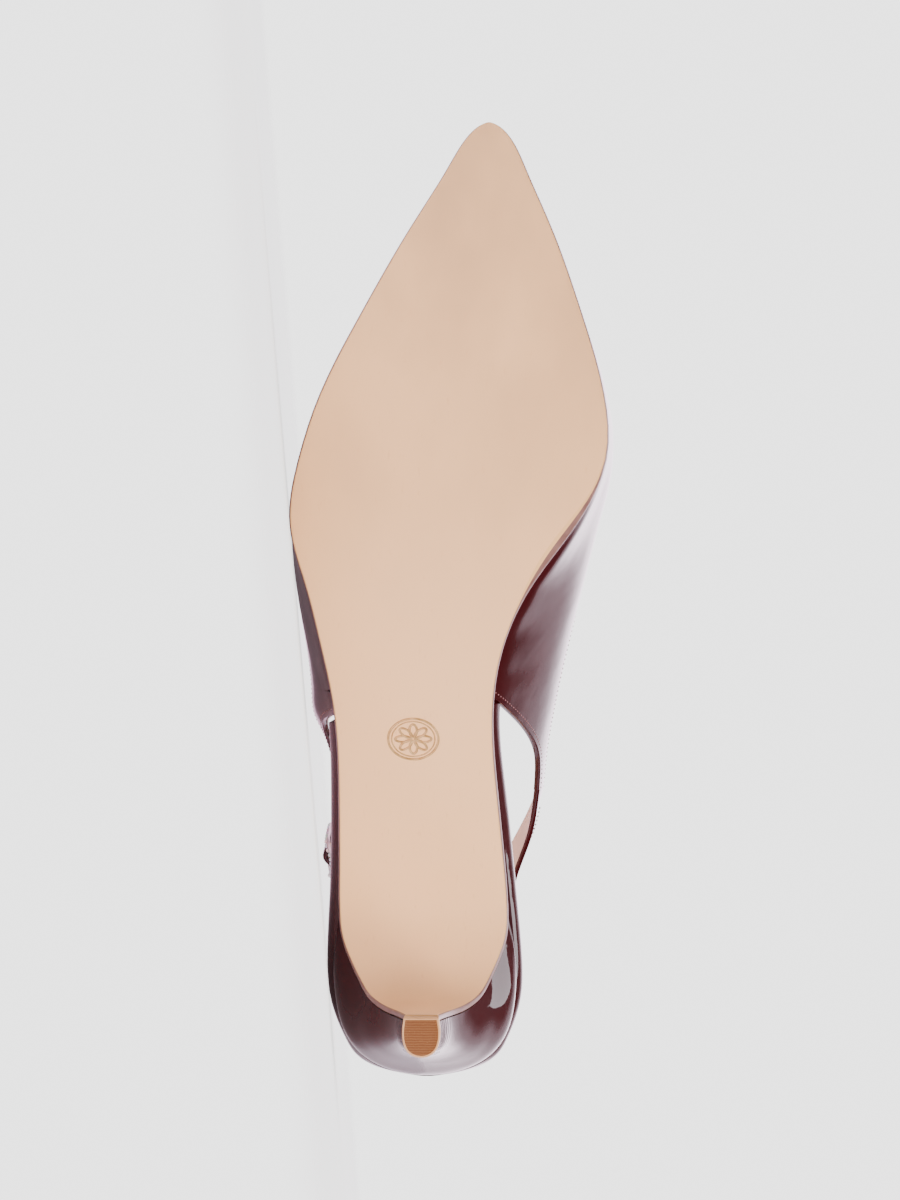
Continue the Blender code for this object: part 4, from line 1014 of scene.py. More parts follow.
def wall(x, side, share, depth=0.0, creased=True):
    """Points of the wall at station x: depth 0 is its outer face."""
    across, height, run = section(x, side)
    share = np.asarray(share, float)
    low, high = np.maximum(share - SHARE_STEP, 0), np.minimum(share + SHARE_STEP, 1)
    dy, dz = across(high) - across(low), height(high) - height(low)
    length = np.hypot(dy, dz)
    dy, dz = np.where(share < 1, dy / length, -1.0), np.where(share < 1, dz / length, 0.0)
    deep = depth - (crease(x, side, share) if creased else 0.0)
    y = across(share) - dz * deep
    z = height(share) + dy * deep
    return np.stack([np.full(share.shape, x), float(sole_centre(x)) + side * y, feather(x) + GAP + z], -1)


def share_at(x, side, z):
    """The share of the section where it reaches the height z."""
    shares = np.linspace(0, 1, 400)
    return float(np.interp(z, wall(x, side, shares, creased=False)[:, 2], shares))


def throat_lift(x):
    """Brings the topline up to the crown at the throat."""
    crown = feather(THROAT) + GAP + float(crown_height(THROAT))
    start = TOPLINE[-3].along * LENGTH
    return (crown - float(topline(THROAT))) * max((x - start) / (THROAT - start), 0) ** 2


def limits(x, side):
    """The shares between which there is leather at x."""
    low, high = 0.0, 1.0
    if x < THROAT:
        high = share_at(x, side, float(topline(x)) + throat_lift(x))
    foot = float(rear_edge[side](x)) if x < REAR_EDGE_FRONT else 0.0
    if foot > feather(x) + GAP:
        low = share_at(x, side, foot)
    return low, high


# %% Edges of the upper, and lines that run beside them
EDGE_X = {side: {} for side in (1, -1)}
for side in (1, -1):
    xs = np.array(spread(WING_END, REAR_EDGE_FRONT, 90) + spread(REAR_EDGE_FRONT, THROAT, 70, "high")[1:])
    ends = np.array([limits(x, side) for x in xs])
    lengths = np.array([section(x, side)[2] for x in xs])
    foot_end = int(np.argmax(ends[:, 0] <= 0)) or len(xs)
    EDGE_X[side]["top"] = xs, ends[:, 1] * lengths, 1
    EDGE_X[side]["rear"] = xs[: foot_end + 1], (ends[:, 0] * lengths)[: foot_end + 1], -1


def beside(side, edge, distance):
    """Places on the wall at a distance inside an edge: stations and shares."""
    xs, ups, way = EDGE_X[side][edge]
    dx, du = np.gradient(xs), np.gradient(ups)
    length = np.hypot(dx, du)
    x = xs + way * du / length * distance
    up = ups - way * dx / length * distance
    keep = np.concatenate([[True], np.diff(x) > 1e-6])
    x, up = x[keep], up[keep]
    if edge == "top":
        slope = (up[-1] - up[-3]) / (x[-1] - x[-3])
        crown = section(x[-1], side)[2]
        reach = max((crown - up[-1]) / max(slope, 0.1), 0)
        x, up = np.append(x, x[-1] + reach), np.append(up, crown)
    return x, up


def inside_limit(side, edge, distance):
    """The same as a function: the share at a station, or the open end of the range past the line."""
    x, up = beside(side, edge, distance)

    def value(at):
        run = section(at, side)[2]
        if edge == "top":
            return min(float(np.interp(at, x, up, right=run)) / run, 1.0) if at < x[-1] else 1.0
        return max(float(np.interp(at, x, up, right=0.0)) / run, 0.0) if at < x[-1] else 0.0

    return value


# %% Build a shell of the wall
TURNED_EDGE = 1.5 * MM
EDGE_ROUND = 0.28 * MM
COLUMN_POINTS = 44
LINING_TIP = 0.2 * MM


def inner_x(x):
    """Where the wall's inner face has its station: it stops short of the toe, which is filled."""
    start = LENGTH - TOE_TAPER
    return x if x < start else start + (TOE_TAPER - TOE_FILL) * (x - start) / TOE_TAPER


def inner_depth(x):
    """The wall's thickness, less where the toe leaves no room for it."""
    return min(WALL, WALL_ROOM * upper_foot(x), WALL_ROOM * float(crown_height(x)))


def edge_strip(outer, inner, next_row, bulge, steps=4):
    """A rounded strip between two edge lines."""
    middle = (outer + inner) / 2
    along = np.gradient(middle, axis=0)
    out = np.cross(along, outer - inner)
    out /= np.maximum(np.linalg.norm(out, axis=1, keepdims=True), 1e-12)
    flip = np.sign(np.einsum("ij,ij->i", out, outer - next_row))
    out *= np.where(flip == 0, 1, flip)[:, None]
    rows = []
    for k in range(steps + 1):
        share = k / steps
        rows.append(outer * (1 - share) + inner * share + out * bulge * math.sin(math.pi * share))
    return np.stack(rows)


def shell(name, finishes, stations, throat, bounds_at, face, back, creased):
    """A closed shell: face and back give its two sides at (x, side, shares), each as station and depths."""
    patches, tops, ends = [], [], []
    for side in (1, -1):
        outer, inner = [], []
        for x in stations:
            low, high = bounds_at(x, side)
            shares = np.linspace(low, high, COLUMN_POINTS)
            fx, fd = face(x, side, shares)
            bx, bd = back(x, side, shares)
            outer.append(wall(fx, side, shares, fd, creased))
            inner.append(wall(bx, side, shares, bd, creased))
        outer, inner = np.array(outer), np.array(inner)
        patches += [Patch(outer), Patch(inner, slot=1)]
        foot_strip = edge_strip(outer[:, 0], inner[:, 0], outer[:, 1], EDGE_ROUND / 2)
        end_strip = edge_strip(outer[0], inner[0], outer[1], 0.0)
        end_strip[:, 0] = foot_strip[:, 0]
        ends.append(end_strip)
        patches.append(Patch(foot_strip))
        tops.append((outer[: throat + 1, -1], inner[: throat + 1, -1], outer[: throat + 1, -2]))
        point = (LENGTH, float(sole_centre(LENGTH)), feather(LENGTH) + TIP_HEIGHT)
        tip = np.stack([outer[-1], np.broadcast_to(point, outer[-1].shape)])
        height = inner[-1].mean(0)
        point = (height[0] + LINING_TIP, inner[-1][-1, 1], height[2])
        back_tip = np.stack([inner[-1], np.broadcast_to(point, inner[-1].shape)])
        foot = np.stack([foot_strip[:, -1], np.linspace(tip[1, 0], back_tip[1, 0], len(foot_strip))])
        patches += [Patch(tip), Patch(back_tip, slot=1), Patch(foot)]
    (a_out, a_in, a_next), (b_out, b_in, b_next) = tops
    ring = [np.concatenate([a, b[-2::-1]]) for a, b in ((a_out, b_out), (a_in, b_in), (a_next, b_next))]
    top_strip = edge_strip(*ring, EDGE_ROUND)
    patches.append(Patch(top_strip))
    for end_strip, last in zip(ends, (0, -1)):
        end_strip[:, -1] = top_strip[:, last]
        patches.append(Patch(end_strip))
    return piece(name, patches, finishes, sharp=50)


# %% Leather shell
LEATHER = 0.75 * MM
TURNED_FADE = 0.25 * TURNED_EDGE
LEATHER_SHARE, LINING_SHARE = 0.47, 0.5
stations = spread(WING_END, REAR_EDGE_FRONT, 62) + spread(REAR_EDGE_FRONT, THROAT, 62, "high")[1:]
stations += spread(THROAT, LENGTH - STEP / 2, 96, "high")[1:]


def near_edge(x, side, shares):
    """1 at a turned edge, 0 past the leather that is turned in."""
    run = section(x, side)[2]
    low, high = limits(x, side)
    from_top = (high - shares) * run if x < THROAT else np.hypot((1 - shares) * run, x - THROAT)
    from_foot = (shares - low) * run if low > 0 else np.full(shares.shape, 1.0)
    distance = np.minimum(from_top, from_foot)
    return 1 - ease((distance - TURNED_EDGE + TURNED_FADE) / TURNED_FADE)


def leather_back(x, side, shares):
    here = inner_x(x)
    depth = inner_depth(here)
    thin = min(LEATHER, LEATHER_SHARE * depth)
    return here, thin + (depth - thin) * near_edge(x, side, shares)


upper_leather = shell(
    "upper_patent",
    [patent.material, patent.material],
    stations,
    stations.index(THROAT),
    limits,
    lambda x, side, shares: (x, 0.0),
    leather_back,
    True,
)
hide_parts("upper")

# %% Lining shell
LINING_GAP = 0.05 * MM
LINING_EDGE = 1.3 * MM
top_limit = {side: inside_limit(side, "top", LINING_EDGE) for side in (1, -1)}
rear_limit = {side: inside_limit(side, "rear", LINING_EDGE) for side in (1, -1)}
lining_throat = max(beside(side, "top", LINING_EDGE)[0][-1] for side in (1, -1))


def lining_limits(x, side):
    if x >= lining_throat:
        return rear_limit[side](x), 1.0
    return rear_limit[side](x), min(top_limit[side](x), 1.0)


stations = spread(WING_END, REAR_EDGE_FRONT, 50) + spread(REAR_EDGE_FRONT, lining_throat, 50, "high")[1:]
stations += spread(lining_throat, LENGTH - STEP / 2, 60, "high")[1:]
upper_lining = shell(
    "upper_lining",
    [lining.material, lining.material],
    stations,
    stations.index(lining_throat),
    lining_limits,
    lambda x, side, shares: (inner_x(x), min(LEATHER + LINING_GAP, LINING_SHARE * inner_depth(inner_x(x)))),
    lambda x, side, shares: (inner_x(x), inner_depth(inner_x(x))),
    False,
)

# %% [markdown]
# Heel strap, tab and buckle
#
# The strap leaves the inner wing, runs round the heel and is buckled on the outer side: it passes under the
# back of the frame, over the bar and under the front. A short tab from the outer wing holds the bar. Both
# are burgundy outside and at the edges, and the strap is nude inside. A curve with a flat profile would make
# such a band, but it twists where it likes. Here each section is set by the strap's own lean, and the first
# one is the wing's end, so that wing and strap are in one line.


# %% The strap's line and the bands along it
def wing_middle(side):
    """The middle of the wing's end, where the strap takes over."""
    height = (float(topline(WING_END)) + float(rear_edge[side](WING_END))) / 2
    return Vector(wall(WING_END, side, share_at(WING_END, side, height), WALL / 2, creased=False))


points = [Vector((row.along * LENGTH, row.across * BALL_WIDTH, row.height * INSTEP)) for row in STRAP]
points = [wing_middle(1), *points, wing_middle(-1)]
run = running(points)
STRAP_RUN = run[-1]
shares = [r / STRAP_RUN for r in run]
strap_axes = [smooth(shares, [p[k] for p in points]) for k in range(3)]
leans = [row.lean for row in STRAP]
strap_lean = smooth(shares, [leans[0] / 3, *leans, leans[-1] / 3])


def strap_point(share):
    return Vector([float(axis(share)) for axis in strap_axes])


def strap_frame(at):
    """Point, direction, outward and across directions of the band at a run along the strap's line."""
    share = at / STRAP_RUN
    along = (strap_point(share + 0.002) - strap_point(share - 0.002)).normalized()
    out = Vector((along.y, -along.x, 0)).normalized()
    out = Matrix.Rotation(-math.radians(float(strap_lean(share))), 3, along) @ out
    return strap_point(share), along, out, along.cross(out)


def path_line(path):
    """A smooth line through (run, height) pairs: functions of its own length, and that length."""
    run = running(path)
    return smooth(run, [p[0] for p in path]), smooth(run, [p[1] for p in path]), run[-1]


def path_frame(along_line, height_line, at):
    """Point and directions of a band that leaves the strap's line by a height."""
    run, height = float(along_line(at)), float(height_line(at))
    ahead = Vector((float(along_line(at + STEP)), float(height_line(at + STEP))))
    slope = (ahead - Vector((run, height))).normalized()
    point, along, out, across = strap_frame(run)
    return point + out * height, out * slope.x - along * slope.y, across


BAND_CORNERS, CORNER_SHARE = 4, 0.62
TAIL_BLUNT = 0.25


def band_profile(width, thickness):
    """Section of a flat band with round edges, as (across, out)."""
    half, deep = width / 2, thickness / 2
    corner = CORNER_SHARE * deep
    rows = []
    for start, a, b in ((0, 1, 1), (90, -1, 1), (180, -1, -1), (270, 1, -1)):
        for k in range(BAND_CORNERS + 1):
            angle = math.radians(start + 90 * k / BAND_CORNERS)
            y = a * (half - corner) + corner * math.cos(angle)
            rows.append((y, b * (deep - corner) + corner * math.sin(angle)))
        if start in (0, 180):
            rows += [((half - corner) * a * k, b * deep) for k in FLAT_SHARES[::-1]]
    return rows


def band(name, path, width, thickness, count, side, blend_run, finishes):
    """A closed band along a path. Its first section is the end of the wing, which turns into its own."""
    along_line, height_line, length = path_line(path)
    profile = band_profile(width, thickness)
    low, high = limits(WING_END, side)
    start, out, across = path_frame(along_line, height_line, 0.0)
    axes = across.cross(out), out, across
    begin = []
    for a, b in profile:
        share = high - (a / width + 0.5) * (high - low)
        depth = (0.5 - side * b / thickness) * WALL
        corner = Vector(wall(WING_END, side, share, depth, creased=False)) - start
        begin.append([corner.dot(axis) for axis in axes])
    begin = np.array(begin)
    rings = []
    for at in spread(0, length, count):
        centre, out, across = path_frame(along_line, height_line, at)
        axes = np.array([across.cross(out), out, across])
        near_end = 1 - min((length - at) / (width / 2), 1)
        blunt = 1 - TAIL_BLUNT * (1 - math.sqrt(1 - near_end**2))
        own = np.array([(0.0, b, a * blunt) for a, b in profile])
        share = float(ease(at / blend_run))
        rings.append(np.array(centre) + (begin * (1 - share) + own * share) @ axes)
    slots = np.zeros(len(profile), int)
    inside = len(profile) // 2 + BAND_CORNERS
    slots[inside : inside + 5] = 1
    return piece(name, loft(rings, None, slots), finishes, sharp=45)


# %% Sling strap and buckle tab
BAR_RUN = STRAP_RUN - BAR_BACK
SIDE_RISE = STRAP_THICKNESS / 2 + GAP + FRAME_DEPTH / 2
LOOP_RADIUS = BAR_RADIUS + GAP + TAB_THICKNESS / 2
OVER_BAR = BAR_RISE + LOOP_RADIUS + TAB_THICKNESS / 2 + GAP + STRAP_THICKNESS / 2
UNDER = STRAP_THICKNESS / 2 + GAP + TAB_THICKNESS / 2
plain = BAR_RUN - FRAME_BEHIND - FRAME_WIDTH
path = [(run, 0.0) for run in spread(0, plain, 14)]
path += [(BAR_RUN + stop.run * FRAME_BEHIND, stop.rise * OVER_BAR) for stop in STRAP_STOPS_BEHIND]
path += [(BAR_RUN + stop.run * FRAME_AHEAD, stop.rise * OVER_BAR) for stop in STRAP_STOPS_AHEAD]
ends = (FRAME_AHEAD + FRAME_WIDTH, TAIL_LENGTH)
path += [(BAR_RUN + run, rise * OVER_BAR) for run, rise in zip(ends, TAIL_RISES)]
STRAP_PATH = path_line(path)
STRAP_BLEND, TAB_BLEND = 24 * MM, 8 * MM
covers = [patent.material, lining.material]
sling = band("sling_strap_band", path, STRAP_WIDTH, STRAP_THICKNESS, 240, 1, STRAP_BLEND, covers)
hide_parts("sling_strap")
path = [(STRAP_RUN, 0.0)]
path += [(STRAP_RUN - stop.run * BAR_BACK, stop.rise * UNDER) for stop in TAB_START]
path += [(BAR_RUN + stop.run * FRAME_AHEAD, stop.rise * UNDER) for stop in TAB_STOPS_AHEAD]
for angle in map(math.radians, TAB_TURNS):
    path.append((BAR_RUN + LOOP_RADIUS * math.cos(angle), BAR_RISE + LOOP_RADIUS * math.sin(angle)))
path.append((BAR_RUN + TAB_END.run * FRAME_AHEAD, BAR_RISE + TAB_END.rise * LOOP_RADIUS))
covers = [patent.material, patent.material]
tab = band("buckle_tab_band", path, TAB_WIDTH, TAB_THICKNESS, 120, -1, TAB_BLEND, covers)
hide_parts("buckle_tab")


# %% Buckle frame with its bar, and the prong
FRAME_HALF_LONG = (FRAME_AHEAD + FRAME_BEHIND) / 2
FRAME_HALF_WIDE = STRAP_WIDTH / 2 + FRAME_ROOM + FRAME_WIDTH / 2
FRAME_SIDES, FRAME_SECTION = 16, 0.6
FRAME_DIP = 0.2


def squarish(angle, roundness):
    """Cosine and sine of a superellipse: 1 is round, and less is squarer."""
    return [math.copysign(abs(k) ** roundness, k) for k in (math.cos(angle), math.sin(angle))]


def oblong(angle):
    """A point of the frame's line: ahead of the bar, and across."""
    c, d = squarish(angle, FRAME_CORNERS)
    return Vector(((FRAME_AHEAD - FRAME_BEHIND) / 2 + FRAME_HALF_LONG * c, FRAME_HALF_WIDE * d))


def frame_line(angle):
    """Middle of the frame there, with its sideways and outward directions."""
    point, along, out, across = strap_frame(BAR_RUN)
    a, b = oblong(angle)
    way = (oblong(angle + 0.004) - oblong(angle - 0.004)).normalized()
    dip = (1 - min(abs(a / FRAME_HALF_LONG), 1) ** 2) * min(abs(b / FRAME_HALF_WIDE), 1) ** 6
    rise = SIDE_RISE + (BAR_RISE + FRAME_DIP * FRAME_DEPTH - SIDE_RISE) * dip
    return point + along * a + across * b + out * rise, along * way.y - across * way.x, out


FRAME_STATIONS = 120
STONE_SUNK = 0.05 * MM
rings, stone_line = [], []
for k in range(FRAME_STATIONS + 1):
    centre, side, out = frame_line(2 * math.pi * k / FRAME_STATIONS)
    ring = []
    for j in range(FRAME_SIDES):
        c, d = squarish(2 * math.pi * j / FRAME_SIDES, FRAME_SECTION)
        ring.append(centre + side * FRAME_WIDTH / 2 * c + out * FRAME_DEPTH / 2 * d)
    rings.append(ring)
    if k < FRAME_STATIONS:
        stone_line.append((centre + out * (FRAME_DEPTH / 2 - STONE_SUNK), out))


def tube(points, radius, sides=16):
    """Round sections along a line of points in the plane of the strap's line."""
    rings = []
    across = strap_frame(BAR_RUN)[3]
    for i, point in enumerate(points):
        along = (points[min(i + 1, len(points) - 1)] - points[max(i - 1, 0)]).normalized()
        side = across if abs(along.dot(across)) < 0.9 else strap_frame(BAR_RUN)[2]
        up = along.cross(side).normalized()
        turns = [2 * math.pi * k / sides for k in range(sides)]
        rings.append([point + side * radius * math.cos(t) + up * radius * math.sin(t) for t in turns])
    return np.array(rings)


point, along, out, across = strap_frame(BAR_RUN)
bar = tube([point + out * BAR_RISE + across * FRAME_HALF_WIDE * k / 4 for k in range(-4, 5)], BAR_RADIUS)
prong_reach = BAR_RADIUS + GAP + PRONG_RADIUS
rest = SIDE_RISE + FRAME_DEPTH / 2 + GAP + PRONG_RADIUS
path = []
for angle in map(math.radians, PRONG_TURNS):
    path.append((prong_reach * math.cos(angle), BAR_RISE + prong_reach * math.sin(angle)))
path += [(stop.run * FRAME_BEHIND, stop.rise * rest) for stop in PRONG_STOPS]
path.append((-FRAME_BEHIND - FRAME_WIDTH / 2, rest))
along_line, height_line, length = path_line(path)
prong = []
for at in spread(0, length, 50):
    prong.append(point + along * float(along_line(at)) + out * float(height_line(at)))
prong = tube(prong, PRONG_RADIUS)
buckle = piece("buckle_frame_metal", [Patch(np.array(rings), wrap=True)], [pale_metal.material])
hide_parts("buckle_frame")
buckle_bar = piece("buckle_bar", loft(bar), [pale_metal.material])
buckle_prong = piece("buckle_prong_metal", loft(prong), [pale_metal.material])
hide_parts("buckle_prong")

# %% [markdown]
# Things that repeat along a line
#
# Stitches, stones and raised foil all follow a line. A loop could place them one by one, but then a new
# spacing would mean a new script. So Geometry Nodes make them: the line's edges become a curve, small shapes
# stand on it at a set spacing, and the instances are realized because the export keeps only real faces. The
# result is turned into a plain mesh before it rides with the shoe.


# %% Lines as meshes, and a maker for node trees
def line_mesh(name, lines, ups=None, closed=False):
    """Poly-lines in the shoe's frame as a mesh of edges, with an outward direction at each point."""
    verts, edges, normals = [], [], []
    for i, line in enumerate(lines):
        base = len(verts)
        verts += [PLACE @ Vector(p) for p in line]
        edges += [(base + k, base + k + 1) for k in range(len(line) - 1)]
        if closed:
            edges.append((base + len(line) - 1, base))
        if ups:
            normals += [PLACE.to_3x3() @ Vector(up) for up in ups[i]]
    mesh = bpy.data.meshes.new(name)
    mesh.from_pydata(verts, edges, [])
    if ups:
        store = mesh.attributes.new("outward", "FLOAT_VECTOR", "POINT")
        store.data.foreach_set("vector", [k for normal in normals for k in normal])
    return put(name, mesh)


def new_tree(name, inputs):
    """An empty geometry tree with named inputs: (name, kind, value)."""
    tree = bpy.data.node_groups.new(name, "GeometryNodeTree")
    tree.interface.new_socket("Geometry", in_out="INPUT", socket_type="NodeSocketGeometry")
    tree.interface.new_socket("Geometry", in_out="OUTPUT", socket_type="NodeSocketGeometry")
    for label, kind, value in inputs:
        socket = tree.interface.new_socket(label, in_out="INPUT", socket_type="NodeSocket" + kind)
        if value is not None:
            socket.default_value = value
    return tree, tree.nodes.new("NodeGroupInput").outputs, tree.nodes.new("NodeGroupOutput").inputs


def set_along(tree, given, shape, wide, tall, turned=None):
    """Copies of a shape along the line at the tree's spacing, sized by two of its inputs."""
    curve = add(tree, "GeometryNodeMeshToCurve", {"Mesh": given["Geometry"]})
    links = {"Curve": curve.outputs[0], "Length": given["Spacing"]}
    points = add(tree, "GeometryNodeCurveToPoints", links, mode="LENGTH").outputs
    size = add(tree, "ShaderNodeCombineXYZ", {"X": given[wide], "Y": given[wide], "Z": given[tall]})
    links = {"Points": points["Points"], "Instance": shape.outputs["Mesh"], "Scale": size.outputs[0]}
    links["Rotation"] = turned.outputs[0] if turned else points["Rotation"]
    return add(tree, "GeometryNodeInstanceOnPoints", links)


def finish_tree(tree, geometry, material, output):
    """Realize Instances and Set Material, at the end of a tree."""
    real = add(tree, "GeometryNodeRealizeInstances", {"Geometry": geometry})
    dressed = add(tree, "GeometryNodeSetMaterial", {"Geometry": real.outputs[0], "Material": material})
    tree.links.new(dressed.outputs[0], output[0])


def grow(line, tree, values, name):
    """Runs a tree on a line and keeps the result as a plain mesh that rides with the shoe."""
    step = line.modifiers.new(tree.name, "NODES")
    step.node_group = tree
    for item in tree.interface.items_tree:
        if item.in_out == "INPUT" and item.name in values:
            step[item.identifier] = values[item.name]
    depsgraph = bpy.context.evaluated_depsgraph_get()
    mesh = bpy.data.meshes.new_from_object(line.evaluated_get(depsgraph))
    made = put(name, mesh)
    bpy.data.objects.remove(line)
    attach(made, "root")
    print(name, "faces", len(mesh.polygons))
    return made


# %% A tree for a row of stitches
stitch_tree, given, output = new_tree(
    "Stitch row",
    (
        ("Spacing", "Float", 2.0 * MM),
        ("Stitch length", "Float", 1.5 * MM),
        ("Thread width", "Float", 0.4 * MM),
        ("Thread", "Material", None),
    ),
)
bead = add(stitch_tree, "GeometryNodeMeshUVSphere", {"Segments": 8, "Rings": 6, "Radius": 0.5})
placed = set_along(stitch_tree, given, bead, "Thread width", "Stitch length")
round_faces = add(stitch_tree, "GeometryNodeSetShadeSmooth", {"Geometry": placed.outputs[0]})
finish_tree(stitch_tree, round_faces.outputs[0], given["Thread"], output)

# %% Stitch the topline, the rear edges and the strap
STITCH_INSET = 1.5 * MM
SUNK = 0.07 * MM
SPACING, STITCH = 1.35 * MM, 0.66 * MM
WALL_THREAD, STRAP_THREAD = 0.42 * MM, 0.38 * MM
SEAM_START, SEAM_FOOT = 0.5 * MM, 0.012


def wall_line(side, edge, distance):
    """A line on the leather beside an edge."""
    xs, ups = beside(side, edge, distance)
    line = []
    for x, up in zip(xs, ups):
        if x >= WING_END + SEAM_START:
            share = min(up / section(x, side)[2], 1.0)
            if share > SEAM_FOOT:
                line.append(wall(x, side, share, SUNK))
    return line


lines = [wall_line(side, edge, STITCH_INSET) for edge in ("top", "rear") for side in (1, -1)]
seam = {"Spacing": SPACING, "Stitch length": STITCH, "Thread width": WALL_THREAD, "Thread": thread.material}
grow(line_mesh("stitch_lines", lines), stitch_tree, seam, "edge_stitches")


def band_line(across_at, start, end, rise):
    """A line on the strap's outer face."""
    along_line, height_line, _ = STRAP_PATH
    line = []
    for at in spread(start, end, 150):
        centre, out, across = path_frame(along_line, height_line, at)
        line.append(centre + across * across_at + out * rise)
    return line


start, end = 4 * MM, STRAP_PATH[2] - 2 * MM
off, rise = STRAP_WIDTH / 2 - STITCH_INSET, STRAP_THICKNESS / 2 - 2 * SUNK
lines = [band_line(side * off, start, end, rise) for side in (1, -1)]
seam["Thread width"] = STRAP_THREAD
grow(line_mesh("strap_stitch_lines", lines), stitch_tree, seam, "strap_stitches")

# %% A tree for a row of set stones, on the buckle's frame
stone_tree, given, output = new_tree(
    "Stone row",
    (
        ("Spacing", "Float", 1.3 * MM),
        ("Stone size", "Float", 1.2 * MM),
        ("Stone height", "Float", 0.55 * MM),
        ("Stone", "Material", None),
    ),
)
outward = add(stone_tree, "GeometryNodeInputNamedAttribute", {"Name": "outward"}, data_type="FLOAT_VECTOR")
aim = add(stone_tree, "FunctionNodeAlignRotationToVector", {"Vector": outward.outputs[0]}, axis="Z")
brilliant = {"Vertices": 8, "Radius Top": 0.28, "Radius Bottom": 0.5, "Depth": 1.0}
cut = add(stone_tree, "GeometryNodeMeshCone", brilliant)
placed = set_along(stone_tree, given, cut, "Stone size", "Stone height", aim)
finish_tree(stone_tree, placed.outputs[0], given["Stone"], output)
places, ups = zip(*stone_line)
setting = {"Spacing": 1.42 * MM, "Stone size": 1.35 * MM, "Stone height": 0.7 * MM, "Stone": stone.material}
stone_line = line_mesh("stone_line", [places], [ups], closed=True)
grow(stone_line, stone_tree, setting, "buckle_stones")

# %% [markdown]
# Foil ornament on the waist
#
# The waist of such a sole carries a small piece of gilt trim. Here it is a plain rosette in an oval. It
# could be painted into the leather's colour, but foil stands up from the leather and glints at its edges. So
# it is made of raised lines: a round profile swept along curves that lie on the sole.

# %% A tree that sweeps a round line, and the rosette
sweep_tree, given, output = new_tree(
    "Raised line", (("Line radius", "Float", 0.25 * MM), ("Foil", "Material", None))
)
curve = add(sweep_tree, "GeometryNodeMeshToCurve", {"Mesh": given["Geometry"]})
ring = add(sweep_tree, "GeometryNodeCurvePrimitiveCircle", {"Resolution": 8, "Radius": given["Line radius"]})
links = {"Curve": curve.outputs[0], "Profile Curve": ring.outputs[0], "Fill Caps": True}
swept = add(sweep_tree, "GeometryNodeCurveToMesh", links)
round_faces = add(sweep_tree, "GeometryNodeSetShadeSmooth", {"Geometry": swept.outputs[0]})
finish_tree(sweep_tree, round_faces.outputs[0], given["Foil"], output)

ROSETTE_AT = (91.5 * MM, -2.7 * MM)
OVAL = (5.4 * MM, 6.6 * MM)
PETALS, PETAL_MIDDLE, PETAL_LENGTH, PETAL_WIDTH = 8, 0.42, 0.30, 0.15
INNER_OVAL, HEART = 0.86, 0.1
LINE_RADIUS, RING_RADIUS = 0.34 * MM, 0.19 * MM
FOIL_LIFT = 0.02 * MM


def on_sole(a, b):
    """A point on the sole's underside, ahead and across of the rosette's middle."""
    x = ROSETTE_AT[0] + a
    return Vector((x, ROSETTE_AT[1] + b, underside(x) - FOIL_LIFT))


def oval_line(size, turns):
    """A closed line round the rosette's middle."""
    return [on_sole(size[0] * math.cos(t), size[1] * math.sin(t)) for t in turns]


turns = [2 * math.pi * k / 72 for k in range(72)]
lines = [oval_line(OVAL, turns), oval_line((OVAL[0] * HEART, OVAL[0] * HEART), turns[::6])]
for k in range(PETALS):
    spin = 2 * math.pi * k / PETALS
    loop = []
    for t in turns[::3]:
        reach, side = PETAL_MIDDLE + PETAL_LENGTH * math.cos(t), PETAL_WIDTH * math.sin(t)
        a = reach * math.cos(spin) - side * math.sin(spin)
        b = reach * math.sin(spin) + side * math.cos(spin)
        loop.append(on_sole(OVAL[0] * a, OVAL[1] * b))
    lines.append(loop)
trim = {"Line radius": LINE_RADIUS, "Foil": foil.material}
grow(line_mesh("rosette_lines", lines, closed=True), sweep_tree, trim, "foil_rosette")
lines = [oval_line((OVAL[0] * INNER_OVAL, OVAL[1] * INNER_OVAL), turns)]
trim["Line radius"] = RING_RADIUS
ring_line = line_mesh("rosette_ring_line", lines, closed=True)
grow(ring_line, sweep_tree, trim, "foil_rosette_ring")

# %% [markdown]
# Stage and light
#
# A plain pale floor under the shoe, and a studio that is bright behind it and dark behind the camera: the
# lacquer mirrors the bright side towards its outlines and stays deep burgundy where it faces the camera. Big
# lamps all round would be simpler, but lacquer shows every lamp as a patch. So most of the light is in the
# world, graded by direction, and only two lamps are mirrored at all.
#
# The floor does two more things. Where the lacquer mirrors it, it is a dim lilac that glows faintly, a painted
# reflection like a dark card beside the shoe, so that the lower side doesn't go white. And the camera sees
# less than half of its paint over the even backdrop, so that the shoe's shadow stays as light as in the photo.

# %% Floor
BACKDROP = 2.95
FLOOR_FADE = (0.35, 0.75)
PAINTED_REFLECTION_RAMP = (0.085, 0.12)
CAMERA_SHARE = 0.45
PAINTED_REFLECTION_GLOW = 0.16
RAGGED = 0.05
PAINTED_REFLECTION_TONES = ((0.62, 0.42, 0.52, 1), (0.55, 0.50, 0.56, 1))
floor_paint = Finish("pale_floor", (0.78, 0.78, 0.78), 0.9, Specular_IOR_Level=0.0, Emission_Strength=0.0)
floor_paint.shader.inputs["Emission Color"].default_value = (1, 0.74, 0.88, 1)
at = floor_paint.place()
tone = floor_paint.noise(at, 4, 2)
pale = floor_paint.blend(tone, (0.775, 0.775, 0.775), (0.785, 0.785, 0.785))
ray = floor_paint.node("LightPath").outputs
ahead = floor_paint.node("SeparateXYZ", {"Vector": at}).outputs[0]
ragged = floor_paint.maths("MULTIPLY_ADD", floor_paint.noise(at, 90, 2), RAGGED, ahead)
# painted reflection: rays mirrored by the lacquer see a lilac floor, graded along x with a ragged edge
painted_reflection = floor_paint.ramp(ragged, *PAINTED_REFLECTION_RAMP, PAINTED_REFLECTION_TONES)
floor_paint.feed("Base Color", floor_paint.blend(ray["Is Glossy Ray"], pale, painted_reflection))
away = floor_paint.node("VectorMath", {0: at}, operation="LENGTH").outputs["Value"]
